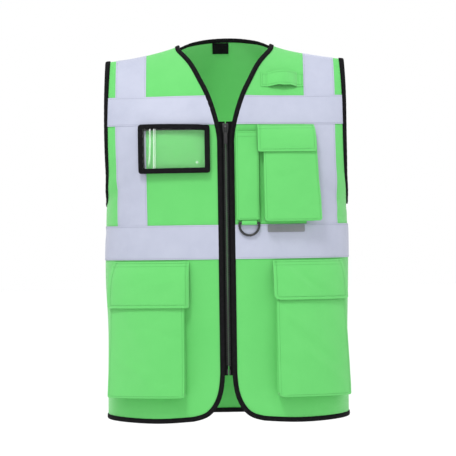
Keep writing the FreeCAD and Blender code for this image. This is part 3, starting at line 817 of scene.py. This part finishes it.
def back_pieces():
    p, n = cloth_grid(even_angles(COLUMNS), 1, HEM_Z + 4.0)
    arm = armhole_middle()
    neck = spline(BACK_NECK, 80) - np.array([0, 3.0])
    half = np.concatenate([[[90, ABOVE], [arm[0, 0], ABOVE]], arm, [[arm[-1, 0], SIDE_SEAM_TOP],
                           [BESIDE, SIDE_SEAM_TOP], [BESIDE, BELOW]]])
    outline = np.concatenate([neck, half, half[::-1] * [-1, 1]])
    panel = sheet_piece("back_cloth", p, CLOTH_THICK, "cloth", "back", "back_panel",
                        cells_inside(p, outline), n)
    end = BACK_NECK[-1][0]
    top = [end, crest(end)]
    run = np.concatenate([[[-end, top[1]]], spline(BACK_NECK, 300), [top]])
    collar = binding("back_neck_edge", run, 1, 150, 1, "back_black", "back_neck_binding", "back")
    path, pn = put(even_angles(400), HEM_Z, 1)
    rng = np.random.default_rng(5)
    ease = 1 + 0.07 * np.sin(np.arange(400) * 0.9) + rng.normal(0, 0.03, 400)
    hem = folded_strip("back_hem_edge", path, pn, [(-b, o) for b, o in BINDING_PROFILE][::-1], ease,
                       "back", "back_hem_binding")
    STITCH.run("back_black", *put(even_angles(400), HEM_Z + HEM_SEAM, 1, 1.3), *FINE)
    for hand in (-1, 1):
        name = NAME[hand]
        armhole_binding(hand, 1, hand, "back_black", name + "_armhole_binding_back",
                                    name + "_back_armhole_binding", "back")
        shoulder_band(hand, 1, name + "_back_band", name + "_back_tape", "back", "back_cloth", "back_grey")
    for key, (z0, z1), long in (("chest", CHEST, 450), ("waist", WAIST, 580)):
        z = np.linspace(z1, z0, 15)
        angles = outer_angle(z, BAND_SHORT)[:, None] * np.linspace(-1, 1, 150)[None, :]
        round_band("back_%s_band" % key, "back_%s_tape" % key, "back", z, angles, 1,
                   "back_cloth")
        for v in (z0 + SEAM_INSET, z1 - SEAM_INSET):
            turn = outer_angle(v, THREAD_SHORT) * np.linspace(-1, 1, 200)
            STITCH.run("back_grey", *put(turn, v, 1, TAPE_OUT + 0.25))
    hang([])
    q, qn = on(np.linspace(-22, 7.5, 16), np.linspace(-5, -23.5, 12)[:, None], -1.9, 1)
    label = sheet_piece("plain_neck_label", q, 0.5, "label", "back", "neck_label", n=qn)
    hang("back_cloth")


# ---- zip ----------------------------------------------------------------------------
ZIP_TOP = -160.0
ZIP_BOTTOM = -590.0
ZIP_DEPTH = 1.85              # the chain lies this far behind the cloth
TOOTH_PITCH = 4.0
TOOTH_COUNT = 104


def zip_frame(points, z):
    """Points given upright about the chain's middle plane, leaned and set at height z."""
    lean = math.atan(FRONT_SLOPE)
    p = np.asarray(points, float)
    y = p[..., 1] * math.cos(lean) + p[..., 2] * math.sin(lean)
    up = -p[..., 1] * math.sin(lean) + p[..., 2] * math.cos(lean)
    base = form(np.array(0.0), np.array(z), -1)[1] + ZIP_DEPTH
    return np.stack([p[..., 0], y + base, up + z], -1)


def plate_mesh(outline, y0, y1, bevel):
    """A plate with bevelled rims: outline in x, z, from y0 at the front to y1 at the back."""
    o = np.asarray(outline, float)
    t = unit(np.roll(o, -1, 0) - np.roll(o, 1, 0))
    n = np.stack([t[:, 1], -t[:, 0]], -1)
    turn = np.sum(o[:, 0] * np.roll(o[:, 1], -1) - np.roll(o[:, 0], -1) * o[:, 1])
    n = n * np.sign(turn)
    rings = []
    for y, inset in ((y0, bevel), (y0 + 0.3 * bevel, 0.3 * bevel), (y0 + bevel, 0),
                     (y1 - bevel, 0), (y1 - 0.3 * bevel, 0.3 * bevel), (y1, bevel)):
        ring = o - n * inset
        rings.append(np.stack([ring[:, 0], np.full(len(o), y), ring[:, 1]], -1))
    m = len(o)
    faces = [tuple(range(m)), tuple(5 * m + k for k in range(m))[::-1]]
    for r in range(5):
        for k in range(m):
            a, b = r * m + k, r * m + (k + 1) % m
            faces.append((a, a + m, b + m, b))
    return np.concatenate(rings), faces


def merge(parts):
    verts, faces, base = [], [], 0
    for v, f in parts:
        verts.append(v)
        faces += [tuple(int(i) + base for i in face) for face in f]
        base += len(v)
    return np.concatenate(verts), faces


def rounded(x0, x1, z0, z1, radius, steps=5):
    """A rectangle with rounded corners, as x, z points."""
    out = []
    for cx, cz, start in ((x1 - radius, z1 - radius, 0), (x0 + radius, z1 - radius, 90),
                          (x0 + radius, z0 + radius, 180), (x1 - radius, z0 + radius, 270)):
        for k in range(steps + 1):
            turn = math.radians(start + 90 * k / steps)
            out.append((cx + radius * math.cos(turn), cz + radius * math.sin(turn)))
    return np.array(out)


def tube(path, radius, closed=False, sides=12, flat=1.0):
    """A round wire along a path."""
    path = np.asarray(path, float)
    ahead = np.roll(path, -1, 0) if closed else np.concatenate([path[1:], path[-1:]])
    behind = np.roll(path, 1, 0) if closed else np.concatenate([path[:1], path[:-1]])
    t = unit(ahead - behind)
    side = np.cross(t, [0.0, 1.0, 0.0])
    weak = np.linalg.norm(side, axis=1) < 0.3
    side[weak] = [1.0, 0.0, 0.0]
    side = unit(side)
    up = np.cross(side, t)
    turn = 2 * math.pi * np.arange(sides) / sides
    ring = side[:, None] * (radius * np.cos(turn))[None, :, None]
    ring = ring + up[:, None] * (radius * flat * np.sin(turn))[None, :, None]
    return (path[:, None] + ring).reshape(-1, 3), ring_faces(len(path), sides, closed)


TOOTH = [(3.6, 0.95), (2.6, 0.85), (1.5, 0.62), (1.05, 0.98), (0.2, 1.02), (-0.55, 0.8), (-0.85, 0.35)]


def chain(hand):
    name = NAME[hand]
    body = name + "_front"
    shape = [(hand * x, z) for x, z in TOOTH] + [(hand * x, -z) for x, z in TOOTH[::-1]]
    teeth = []
    start = 4.0 + (hand + 1) * TOOTH_PITCH / 4 + 0.85
    for i in range(TOOTH_COUNT):
        v, f = plate_mesh(shape, -1.3, 1.3, 0.35)
        teeth.append((v + [0, 0, -start - i * TOOTH_PITCH], f))
    v, f = merge(teeth)
    make(name + "_teeth", zip_frame(v, ZIP_TOP), f, "teeth", body, name + "_zip_teeth", sharp=35)
    gx, gz = np.meshgrid(np.linspace(0.95, 16.0, 11), np.linspace(6.0, -436.0, 150))
    wave = 0.12 * np.sin(gz / 31.0 + gx) * smooth((gx - 6) / 8)
    p = zip_frame(np.stack([hand * gx, wave, gz], -1), ZIP_TOP)
    tape = sheet_piece(name + "_zip_cloth", p, 0.55, "zip_cloth", body, name + "_zip_tape")
    hang(name + "_front_cloth")
    bead = [[hand * 4.2, -0.35, s] for s in np.linspace(5, -435, 180)]
    v, f = tube(zip_frame(bead, ZIP_TOP), 0.75, flat=0.8)
    make(name + "_zip_bead", v, f, "zip_cloth", body)


def zip_ends():
    pin = rounded(-3.2, -0.6, -4.0, 5.0, 0.8)
    v, f = plate_mesh(pin, -1.25, 1.25, 0.35)
    make("insertion_pin", zip_frame(v, ZIP_BOTTOM), f, "teeth", "right_front", "zip_insertion_pin")
    box = rounded(0.6, 3.2, -5.0, 4.0, 0.8)
    v, f = plate_mesh(box, -1.9, 1.5, 0.4)
    rib = plate_mesh(rounded(0.9, 2.9, -3.6, -2.6, 0.4), -2.1, -1.7, 0.15)
    v, f = merge([(v, f), rib])
    make("retainer_box", zip_frame(v, ZIP_BOTTOM), f, "teeth", "left_front", "zip_retainer_box")


def slider_pieces():
    shield = [(-5.2, 1.8), (-4.4, 2.9), (-2.0, 3.0), (0, 2.2), (2.0, 3.0), (4.4, 2.9), (5.2, 1.8)]
    shield += [(5.1, -5.0), (4.3, -12.8), (3.4, -14.8), (-3.4, -14.8), (-4.3, -12.8), (-5.1, -5.0)]
    parts = [plate_mesh(shield, -3.4, -1.85, 0.35), plate_mesh(shield, 1.85, 2.6, 0.2)]
    for hand in (-1, 1):
        lip = [(hand * 4.55, 1.6), (hand * 5.15, 1.4), (hand * 5.05, -5.0), (hand * 4.3, -12.6)]
        lip += [(hand * 3.75, -12.4), (hand * 4.45, -5.0)]
        parts += [plate_mesh(lip, -2.0, -0.9, 0.15), plate_mesh(lip, 0.9, 2.0, 0.15)]
    wedge = [(-0.9, 2.6), (0.9, 2.6), (0.25, -3.2), (-0.25, -3.2)]
    parts.append(plate_mesh(wedge, -1.95, 1.95, 0.1))
    arch = spline([(-3.2, -1.5), (-5.4, -1.3), (-6.75, -2.9), (-6.75, -9.6), (-5.4, -11.5),
                   (-3.2, -11.7)], 40)
    path = np.stack([np.zeros(40), arch[:, 0], arch[:, 1]], -1)
    across = np.tile([1.0, 0, 0], (40, 1))
    strip = [(-0.45, -1.2), (0.45, -1.2), (0.5, 0), (0.45, 1.2), (-0.45, 1.2), (-0.5, 0)]
    v, f, _ = sweep_mesh(path, across, strip)
    parts.append((v, f))
    v, f = merge(parts)
    make("slider", zip_frame(v, ZIP_TOP), f, "metal", "slider", "zip_slider", sharp=40)
    y = -5.2
    loop = rounded(-2.4, 2.4, -14.4, -3.4, 1.6, 6)
    eye = tube(np.stack([loop[:, 0], np.full(len(loop), y), loop[:, 1]], -1), 0.52, True)
    tab = plate_mesh(rounded(-3.0, 3.0, -34.0, -13.6, 2.6, 7), y - 0.45, y + 0.45, 0.25)
    ribs = [plate_mesh(rounded(-1.9, 1.9, z - 0.45, z + 0.45, 0.4), y - 0.75, y - 0.3, 0.15)
            for z in np.linspace(-29.5, -18.0, 6)]
    v, f = merge([eye, tab] + ribs)
    make("pull_tab", zip_frame(v, ZIP_TOP), f, "metal", "pull", "zip_pull", sharp=40)


# ---- pockets and flaps ---------------------------------------------------------------
GUSSET = [(0.0, 0.0), (3.0, 0.1), (6.2, 0.28), (7.4, 0.5), (6.0, 0.72), (2.4, 0.9), (0.1, 0.98)]
EDGE_IN = 1.6
SEAT = 0.6                    # the first layer sewn on the cloth lies at this depth


def corner_cut(z, foot, radius):
    """How far a rounded lower corner draws the side edge in at height z."""
    t = np.clip((foot + radius - z) / radius, 0.0, 1.0)
    return radius * (1.0 - np.sqrt(1.0 - t * t))


def creased(x, z, creases):
    """Height of soft creases: centre, lean, width and length of each, and how far it stands out."""
    out = 0.0
    for cx, cz, lean, wide, long, height in creases:
        u = (x - cx) * math.cos(lean) + (z - cz) * math.sin(lean)
        v = -(x - cx) * math.sin(lean) + (z - cz) * math.cos(lean)
        out = out + height * bump(v / wide) * bump(u / long)
    return out


class Bag:
    """A gusset pocket: its cloth leaves the front at both sides and the foot."""
    THICK, STEP = 0.9, 2.6

    def __init__(self, box, foot, mouth, base, radii, crown, creases):
        self.box, self.foot, self.mouth, self.base = box, foot, mouth, base
        self.radii, self.crown, self.creases = radii, crown, creases

    def depth(self, x, z):
        """Depth of the outer face above the cloth, away from its edges."""
        x0, x1, z0, z1 = self.box
        out = self.foot + (self.mouth - self.foot) * (z - z0) / (z1 - z0)
        tx, tz = np.clip((x - x0) / (x1 - x0), 0, 1), np.clip((z - z0) / (z1 - z0), 0, 1)
        out = out + self.crown * np.sin(math.pi * tx) * np.sin(math.pi * np.clip(tz * 1.1, 0, 1))
        return out + creased(x, z, self.creases)

    def grid(self):
        x0, x1, z0, z1 = self.box
        g_in = np.array([g[0] for g in GUSSET])
        g_up = np.array([g[1] for g in GUSSET])
        wide, tall = x1 - x0, z1 - z0
        face = np.linspace(EDGE_IN, wide - EDGE_IN, int(wide / self.STEP))
        rows_z = np.concatenate([np.linspace(z1, z0 + EDGE_IN, int(tall / self.STEP)), z0 + g_in[::-1]])
        rows_h = np.concatenate([np.ones(int(tall / self.STEP)), g_up[::-1]])
        cols = np.concatenate([g_in, face, wide - g_in[::-1]])
        cols_h = np.concatenate([g_up, np.ones(len(face)), g_up[::-1]])
        z = rows_z[:, None]
        left, right = corner_cut(z, z0, self.radii[0]), corner_cut(z, z0, self.radii[1])
        x = x0 + left + cols / wide * (wide - left - right)
        up = np.minimum(rows_h[:, None], cols_h[None, :])
        return x, z, self.base + self.depth(x, z) * up

    def build(self, name, body, node):
        p, _ = on(*self.grid())
        obj = sheet_piece(name, p, self.THICK, "cloth", body, node)
        hang(body + "_cloth")

    def stitch(self, group, inset=3.0, mouth_rows=(9.0,)):
        x0, x1, z0, z1 = self.box
        side_z = np.linspace(z1 - 1, z0 + inset + 1, 80)
        for edge, sign, radius in ((x0, 1, self.radii[0]), (x1, -1, self.radii[1])):
            x = edge + sign * (inset + corner_cut(side_z, z0, radius))
            sew(group, x, side_z, self.base + self.depth(x, side_z) + self.THICK / 2)
        for z in [z0 + inset] + [z1 - row for row in mouth_rows]:
            first, last = (r * (z < z0 + 9) for r in self.radii)
            x = np.linspace(x0 + inset + first, x1 - inset - last, 60)
            sew(group, x, z, self.base + self.depth(x, z) + self.THICK / 2)


class Flap:
    """A flap sewn down along its top edge, bowed out over the mouth of its pocket."""
    THICK, STEP = 1.5, 1.7

    def __init__(self, box, bow, radii, tucks, creases):
        self.box, self.bow, self.radii, self.tucks, self.creases = box, bow, radii, tucks, creases

    def depth(self, x, z):
        x0, x1, z0, z1 = self.box
        start, growth, rate = self.bow
        out = start + growth * (1.0 - np.exp(-rate * (z1 - z)))
        for edge, sign, width, share in self.tucks:
            near = np.clip(((x - edge) * sign) / width, 0, 1)
            out = out * (1.0 - (1.0 - share) * (1.0 - near) ** 2)
        return out + creased(x, z, self.creases)

    def points(self, x, z, extra):
        return on(x, z, self.depth(x, z) + extra)

    def build(self, name, body, node, cloth):
        x0, x1, z0, z1 = self.box
        z = np.linspace(z1, z0, int((z1 - z0) / self.STEP))[:, None]
        left, right = corner_cut(z, z0, self.radii[0]), corner_cut(z, z0, self.radii[1])
        share = np.linspace(0, 1, int((x1 - x0) / self.STEP))
        x = x0 + left + share * (x1 - x0 - left - right)
        off = np.minimum(np.minimum(x - x0 - left, x1 - right - x), z - z0)
        pinch = 0.35 * bump((off - 5.0) / 1.4) + 0.3 * bump((z1 - z - 3.0) / 1.2)
        ripple = 0.22 * np.sin(x / 2.3 + 0.6 * np.sin(z / 9)) * bump((off - 4.0) / 4.0)
        p, n = self.points(x, z, self.THICK / 2 + ripple - pinch)
        obj = sheet_piece(name, p, self.THICK, "cloth", body, node, n=n)
        hang(cloth)

    def stitch(self, group, inset=5.0):
        x0, x1, z0, z1 = self.box
        r0, r1 = max(self.radii[0] - inset, 0.8), max(self.radii[1] - inset, 0.8)
        down = np.linspace(z1 - 1, z0 + inset, 70)
        left = x0 + inset + corner_cut(down, z0 + inset, r0)
        right = x1 - inset - corner_cut(down, z0 + inset, r1)
        foot_x = np.linspace(left[-1], right[-1], 60)
        x = np.concatenate([left, foot_x[1:-1], right[::-1]])
        z = np.concatenate([down, np.full(58, z0 + inset), down[::-1]])
        STITCH.run(group, *self.points(x, z, self.THICK + 0.02))
        for row in (3.0, 8.5):
            x = np.linspace(x0 + 1.5, x1 - 1.5, 60)
            STITCH.run(group, *self.points(x, z1 - row, self.THICK + 0.02))


def patch_sheet(name, box, depth, thick, kind, body, node, radius=1.5, cols=24, rows=16):
    """A flat patch with rounded corners, sewn on at the given depth out of the cloth."""
    x0, x1, z0, z1 = box
    z = np.linspace(z1, z0, rows)[:, None]
    cut = corner_cut(z, z0, radius) + corner_cut(-z, -z1, radius)
    x = x0 + cut + np.linspace(0, 1, cols) * (x1 - x0 - 2 * cut)
    p, n = on(x, z, depth(x, z))
    return sheet_piece(name, p, thick, kind, body, node, n=n)


LOWER_BAG = {
    -1: Bag((-195.0, -75.0, -634.0, -430.0), 22.4, 12.4, SEAT, (2.0, 6.0), 1.8, [
        (-120, -520, 2.8, 9, 40, -0.9), (-150, -590, 2.5, 9, 34, 1.2), (-172, -520, 1.9, 8, 40, -1.0),
        (-110, -610, 2.8, 8, 26, -0.9)]),
    1: Bag((84.0, 195.0, -634.0, -430.0), 22.4, 12.4, SEAT, (9.0, 2.5), 1.6, [
        (118, -505, -0.75, 8, 44, 1.9), (138, -545, -0.75, 8, 50, -1.8),
        (155, -580, -0.8, 9, 40, 1.6), (112, -590, -0.6, 8, 30, -1.3), (170, -520, -1.1, 9, 34, -1.2)])}
LOWER_FLAP = {
    -1: Flap((-196.5, -66.0, -478.0, -397.0), (2.0, 17.6, 0.042), (2.0, 2.0),
             [(-66.0, -1, 11.0, 0.62), (-196.5, 1, 9.0, 0.9)],
             [(-110, -435, 0.1, 8, 30, 0.8), (-160, -440, 0.3, 9, 30, -0.9)]),
    1: Flap((79.0, 196.5, -466.0, -397.0), (2.0, 17.6, 0.042), (10.0, 2.5),
            [(79.0, 1, 8.0, 0.8), (196.5, -1, 9.0, 0.9)],
            [(115, -425, -0.75, 7, 30, 1.6), (140, -438, -0.75, 7, 34, -1.4),
             (165, -440, -0.6, 8, 26, 0.9)])}
PHONE_BAG = Bag((65.0, 155.5, -329.0, -184.0), 22.4, 10.4, 1.5, (4.0, 4.0), 1.2, [
    (100, -250, 0.3, 9, 36, -0.8), (130, -300, 0.7, 8, 26, 0.9), (85, -300, -0.6, 8, 24, -0.7)])
PHONE_FLAP = Flap((55.0, 154.0, -208.0, -160.5), (2.2, 14.6, 0.075), (3.0, 2.5),
                  [(55.0, 1, 10.0, 0.92), (154.0, -1, 8.0, 0.93)], [(90, -185, 0.1, 6, 26, 0.6)])
PEN_BAG = Bag((17.8, 56.5, -326.0, -172.0), 7.6, 7.4, SEAT, (2.5, 2.5), 0.7, [
    (38, -230, 1.4, 6, 40, -0.5), (30, -290, 1.2, 5, 26, 0.5)])


def lower_pockets(hand):
    name = NAME[hand]
    body = name + "_front"
    bag, flap = LOWER_BAG[hand], LOWER_FLAP[hand]
    bag.build(name + "_pocket_cloth", body, name + "_lower_pocket")
    bag.stitch(name + "_green")
    flap.build(name + "_flap_cloth", name + "_flap", name + "_pocket_flap", body + "_cloth")
    flap.stitch(name + "_flap")
    x0, x1, _, _ = bag.box
    middle, foot = (x0 + x1) / 2, flap.box[2] + 8.0
    box = (middle - 30, middle + 30, foot, foot + 20)
    pile_pair(name, name + "_pocket", box, bag, flap, body)


def pile_pair(who, name, box, bag, flap, body):
    """The patches under a flap: loops on the pocket and hooks on the flap."""
    for kind, under, rider, depth in (
            ("loop", "pocket", body, lambda x, z: bag.base + bag.depth(x, z) + 0.8),
            ("hook", "flap", who + "_flap", lambda x, z: flap.depth(x, z) - 0.5)):
        patch = patch_sheet("%s_%s_pile" % (name, kind), box, depth, 0.6, "pile", rider,
                            "%s_%s_%s_patch" % (who, under, kind))
        hang("%s_%s_cloth" % (who, under))


def chest_pockets():
    seat = patch_sheet("phone_pocket_seat", (58.0, 138.6, -333.0, -164.0), lambda x, z: 1.15, 0.5,
                       "cloth", "left_front", "phone_pocket_base", 2.0, 34, 60)
    hang("left_front_cloth")
    sew("left_green", 60.2, np.linspace(-166, -331, 70), 1.3)
    PHONE_BAG.build("phone_pocket_cloth", "left_front", "phone_pocket")
    PHONE_BAG.stitch("left_green")
    PHONE_FLAP.build("phone_flap_cloth", "phone_flap", "phone_pocket_flap", "left_front_cloth")
    PHONE_FLAP.stitch("phone_flap", 4.0)
    pile_pair("phone", "phone", (92.0, 130.0, -204.0, -190.0), PHONE_BAG, PHONE_FLAP, "left_front")
    PEN_BAG.build("pen_pocket_cloth", "left_front", "pen_pocket")
    PEN_BAG.stitch("left_green", 2.4, (2.0, 9.0))


# ---- card sleeve ----------------------------------------------------------------------
CARD = (-150.0, -27.5, -243.0, -160.0)
CARD_RIM = 6.0                # the films reach this near to the sleeve's edge


def ring_path(box, radius, out):
    line = rounded(*box, radius, 6)
    line = even(np.concatenate([line, line[:1]]), 171)[:-1]
    return on(line[:, 0], line[:, 1], out)


def card_sleeve():
    x0, x1, z0, z1 = CARD
    path, n = ring_path((x0 + 0.6, x1 - 0.6, z0 + 0.6, z1 - 0.6), 4.0, 0.0)
    parts = []
    for low, high in ((9.3, 10.5), (1.9, 3.1)):
        profile = [(-0.8, low + 0.25), (-0.3, low), (7.8, low), (8.2, low + 0.35), (7.8, high - 0.3),
                   (6.0, high + 0.05), (3.0, high + 0.3), (0.3, high - 0.05), (-0.7, high - 0.4)]
        parts.append(sweep_mesh(path, n, profile, True))
    line = np.array([(x0 + 8, z1 - 1.0), (x1 - 1.4, z1 - 1.0), (x1 - 1.0, z1 - 1.4),
                     (x1 - 1.0, z0 + 1.4), (x1 - 1.4, z0 + 1.0), (x0 + 8, z0 + 1.0)])
    path, n = surface_path(line, -1, 150)
    wall = [(-0.4, 2.8), (0.4, 2.8), (0.9, 6.2), (0.4, 9.6), (-0.4, 9.6), (0.1, 6.2)]
    parts.append(sweep_mesh(path, n, wall))
    v, f = merge([(a, b) for a, b, _ in parts])
    c = np.concatenate([c for _, _, c in parts])
    make("card_sleeve_binding", v, f, "binding", "id_sleeve", "id_pocket_binding", c, 50)
    path, n = ring_path((x0 + 2.6, x1 - 2.6, z0 + 2.6, z1 - 2.6), 3.0, 10.55)
    STITCH.run("card_sleeve", path, n, *FINE)
    box = (x0 + CARD_RIM, x1 - CARD_RIM, z0 + CARD_RIM, z1 - CARD_RIM)
    for name, kind, out, loose, folds_and_glare in (("front_film", "film", 9.75, 1.0, 1),
                                           ("back_film", "back_film", 2.65, 0.2, 0)):
        x, z = np.linspace(box[0], box[1], 120), np.linspace(box[3], box[2], 80)[:, None]
        tx, tz = (x - box[0]) / (box[1] - box[0]), (z - box[2]) / (box[3] - box[2])
        bend = 0.5 * np.sin(math.pi * tx) * np.sin(math.pi * tz)
        # the curved and straight fold lines and the round spot are raised 0.3 mm on the front film, and
        # are painted glare there as well: the film turns near-opaque and pale along them
        curved = bump((x - (box[0] + 9 + 6 * np.sin(1.6 * tz + 0.3))) / 1.1) * smooth((tz - 0.05) / 0.2)
        lean = x - box[0] - 1.5 * tz
        straight = bump((lean - 20.0) / 0.7) + 0.7 * bump((lean - 22.6) / 0.6)
        dot = bump(np.hypot(x - (box[1] - 16), z - (box[2] + 12)) / 1.6)
        crease = np.clip(0.55 * curved + 0.7 * straight + 0.6 * dot, 0, 1) * folds_and_glare
        p, n = on(x, z, out - bend * loose + 0.3 * crease)
        verts, faces, cloth = slab_mesh(p, 0.25, n=n)
        film = make(name, verts, faces, kind, "id_sleeve", "id_pocket_" + name, cloth)
        # the crease attribute carries the painted glare of the fold lines and the spot to the film's
        # shader
        layer = film.data.attributes.new("crease", "FLOAT", "POINT")
        both = np.concatenate([crease.ravel(), crease.ravel()]).astype(np.float32)
        layer.data.foreach_set("value", both)
        hang("card_sleeve_binding")


# ---- small pieces of the chest --------------------------------------------------------
def badge_piece():
    x0, x1, z0, z1 = 64.0, 138.0, -92.0, -67.0
    u, v = np.linspace(0, 1, 90), np.linspace(0, 1, 22)[:, None]
    x = x0 + (x1 - x0) * u
    low = z0 + 0.4 * np.sin(u * 21.0) * np.sin(math.pi * u) - 0.3 * bump((u - 0.5) / 0.2)
    high = z1 + 0.5 * np.sin(u * 17.0 + 1.0) * np.sin(math.pi * u)
    z = high + (low - high) * v

    def arch(x):
        """The strip stands off the cloth between its sewn ends."""
        return 8.2 * np.sin(math.pi * np.clip((x - x0 - 11.0) / (x1 - x0 - 22.0), 0, 1)) ** 0.7

    out = 1.2 + arch(x) + 0.5 * np.sin(u * 19.0) * (v - 0.3) * np.sin(math.pi * u)
    p, n = on(x, z, out)
    strip = sheet_piece("radio_strip_cloth", p, 1.0, "cloth", 1, "badge_strip", n=n)
    hang("left_front_cloth")
    for at in (x0 + 2.4, x0 + 8.4, x1 - 8.4, x1 - 2.4):
        sew("left_green", at, np.linspace(z0 + 1.5, z1 - 1.5, 20), 1.75, thread=SHORT)
    xs = np.linspace(x0 + 2, x1 - 2, 90)
    for zs in (z0 + 3.2, z1 - 3.0):
        sew("left_green", xs, zs, 1.75 + arch(xs), thread=SHORT)


def ring_piece():
    x, bar_z, out, half, wire, side = 39.0, -331.5, 5.0, 17.0, 2.1, 4.5
    angle = angle_of(np.array(x), bar_z)
    centre = form(angle, np.array(bar_z), -1) + normal_of(angle, np.array(bar_z), -1) * out
    across = np.array([1.0, 0, 0])
    down = unit(np.array([0, -FRONT_SLOPE, -1.0]))
    foot = centre + down * side
    turn = np.linspace(0, math.pi, 40)
    bow = foot - across * half * np.cos(turn)[:, None] + down * half * np.sin(turn)[:, None]
    bar = np.linspace(1, -1, 16)[:, None] * across * half + centre
    v, f = tube(np.concatenate([bow, bar]), wire, True, 16)
    make("d_ring_wire", v, f, "ring", "d_ring", "d_ring")
    # webbing from under the pen pocket, round the bar and back
    back = [(1.9, 6.2), (1.75, 2.0), (1.9, -1.2)]
    roll = [(5.0 + 3.25 * math.cos(a), 3.25 * math.sin(a)) for a in np.radians(np.linspace(200, 395, 12))]
    front = [(6.2, 4.0), (3.9, 6.4)]
    prof = spline(back + roll + front, 46)
    p, _ = on(x + np.linspace(-13.0, 13.0, 14), bar_z + prof[:, 1:], prof[:, :1])
    tab = sheet_piece("ring_tab_webbing", p, 1.1, "cloth", "left_front", "d_ring_tab")
    hang("left_front_cloth")


def tag_piece():
    x0, x1, z0, z1 = 71.0, 135.0, -348.0, -335.0
    tag = patch_sheet("plain_tag", (x0, x1, z0, z1), lambda x, z: 2.05 + 0.8 * smooth((z1 - 3 - z) / 10),
                      0.6, "tag", "left_front", "grey_tag", 1.5, 40, 12)
    hang("left_waist_band")
    sew("left_grey", np.linspace(x0 + 2, x1 - 2, 40), z1 - 1.8, 2.4, thread=FINE)


# ---- light, floor and camera, in metres -----------------------------------------------
CAMERA_DISTANCE = 4.6
PICTURE_WIDTH = 0.814
CAMERA_X, CAMERA_Z, CAMERA_ROLL = 0.0021, -0.3397, -0.8
FLOOR_Z, FLOOR_REACH = -1.15, 30.0


def light(name, where, size, power, at=(0, 0, -0.34)):
    """A round lamp of the given width and watts, aimed at a point."""
    data = bpy.data.lights.new(name, "AREA")
    data.shape = "DISK"
    data.size = size
    data.energy = power
    obj = bpy.data.objects.new(name, data)
    obj.location = where
    obj.rotation_euler = (Vector(at) - Vector(where)).to_track_quat("-Z", "Y").to_euler()
    bpy.context.scene.collection.objects.link(obj)
    return obj


def studio():
    world = bpy.data.worlds.new("studio")
    world.use_nodes = True
    ground = world.node_tree.nodes["Background"]
    ground.inputs["Color"].default_value = (1, 1, 1, 1)
    ground.inputs["Strength"].default_value = 1.0
    bpy.context.scene.world = world
    light("key", (-0.6, -1.9, 2.4), 0.9, 64)
    light("fill", (2.4, -2.0, 0.6), 2.0, 6)
    light("rear", (0.8, 2.8, 1.4), 2.0, 16)
    # shines up inside the trunk, so that the back's inside isn't lost in shade
    light("inside", (0, -0.02, -0.46), 0.2, 0.5, (0, 0.05, 0)).visible_camera = False
    floor = Shader("floor", 0.9)
    floor.set(Base_Color=(0.97, 0.97, 0.97, 1), Emission_Color=(1, 1, 1, 1), Emission_Strength=0.06)
    mesh = bpy.data.meshes.new("floor")
    r, z = FLOOR_REACH, FLOOR_Z
    mesh.from_pydata([(-r, -r, z), (r, -r, z), (r, r, z), (-r, r, z)], [], [(0, 1, 2, 3)])
    mesh.materials.append(floor.mat)
    obj = bpy.data.objects.new("floor", mesh)
    bpy.context.scene.collection.objects.link(obj)
    bpy.context.scene.view_settings.view_transform = "Standard"


def camera():
    """A long lens straight before the vest, turned a little as the photo is."""
    data = bpy.data.cameras.new("camera")
    data.sensor_width = 36.0
    data.lens = 36.0 * CAMERA_DISTANCE / PICTURE_WIDTH
    data.clip_end = 100
    obj = bpy.data.objects.new("camera", data)
    look = Matrix.Rotation(math.radians(90), 4, "X") @ Matrix.Rotation(math.radians(CAMERA_ROLL), 4, "Z")
    obj.matrix_world = Matrix.Translation((CAMERA_X, -CAMERA_DISTANCE, CAMERA_Z)) @ look
    bpy.context.scene.collection.objects.link(obj)
    bpy.context.scene.camera = obj


camera()
studio()
for hand in (-1, 1):
    front_pieces(hand)
    chain(hand)
    lower_pockets(hand)
back_pieces()
zip_ends()
slider_pieces()
chest_pockets()
card_sleeve()
badge_piece()
ring_piece()
tag_piece()
THREADS = {"black": "black_thread", "grey": "grey_thread_with_painted_shade", "green": "thread"}
for hand in (-1, 1):
    for tone, kind in THREADS.items():
        STITCH.build("%s_%s" % (NAME[hand], tone), kind, hand)
    STITCH.build(NAME[hand] + "_flap", "thread", NAME[hand] + "_flap")
for tone in ("black", "grey"):
    STITCH.build("back_" + tone, THREADS[tone], "back")
STITCH.build("phone_flap", "thread", "phone_flap")
STITCH.build("card_sleeve", "black_thread", "id_sleeve")
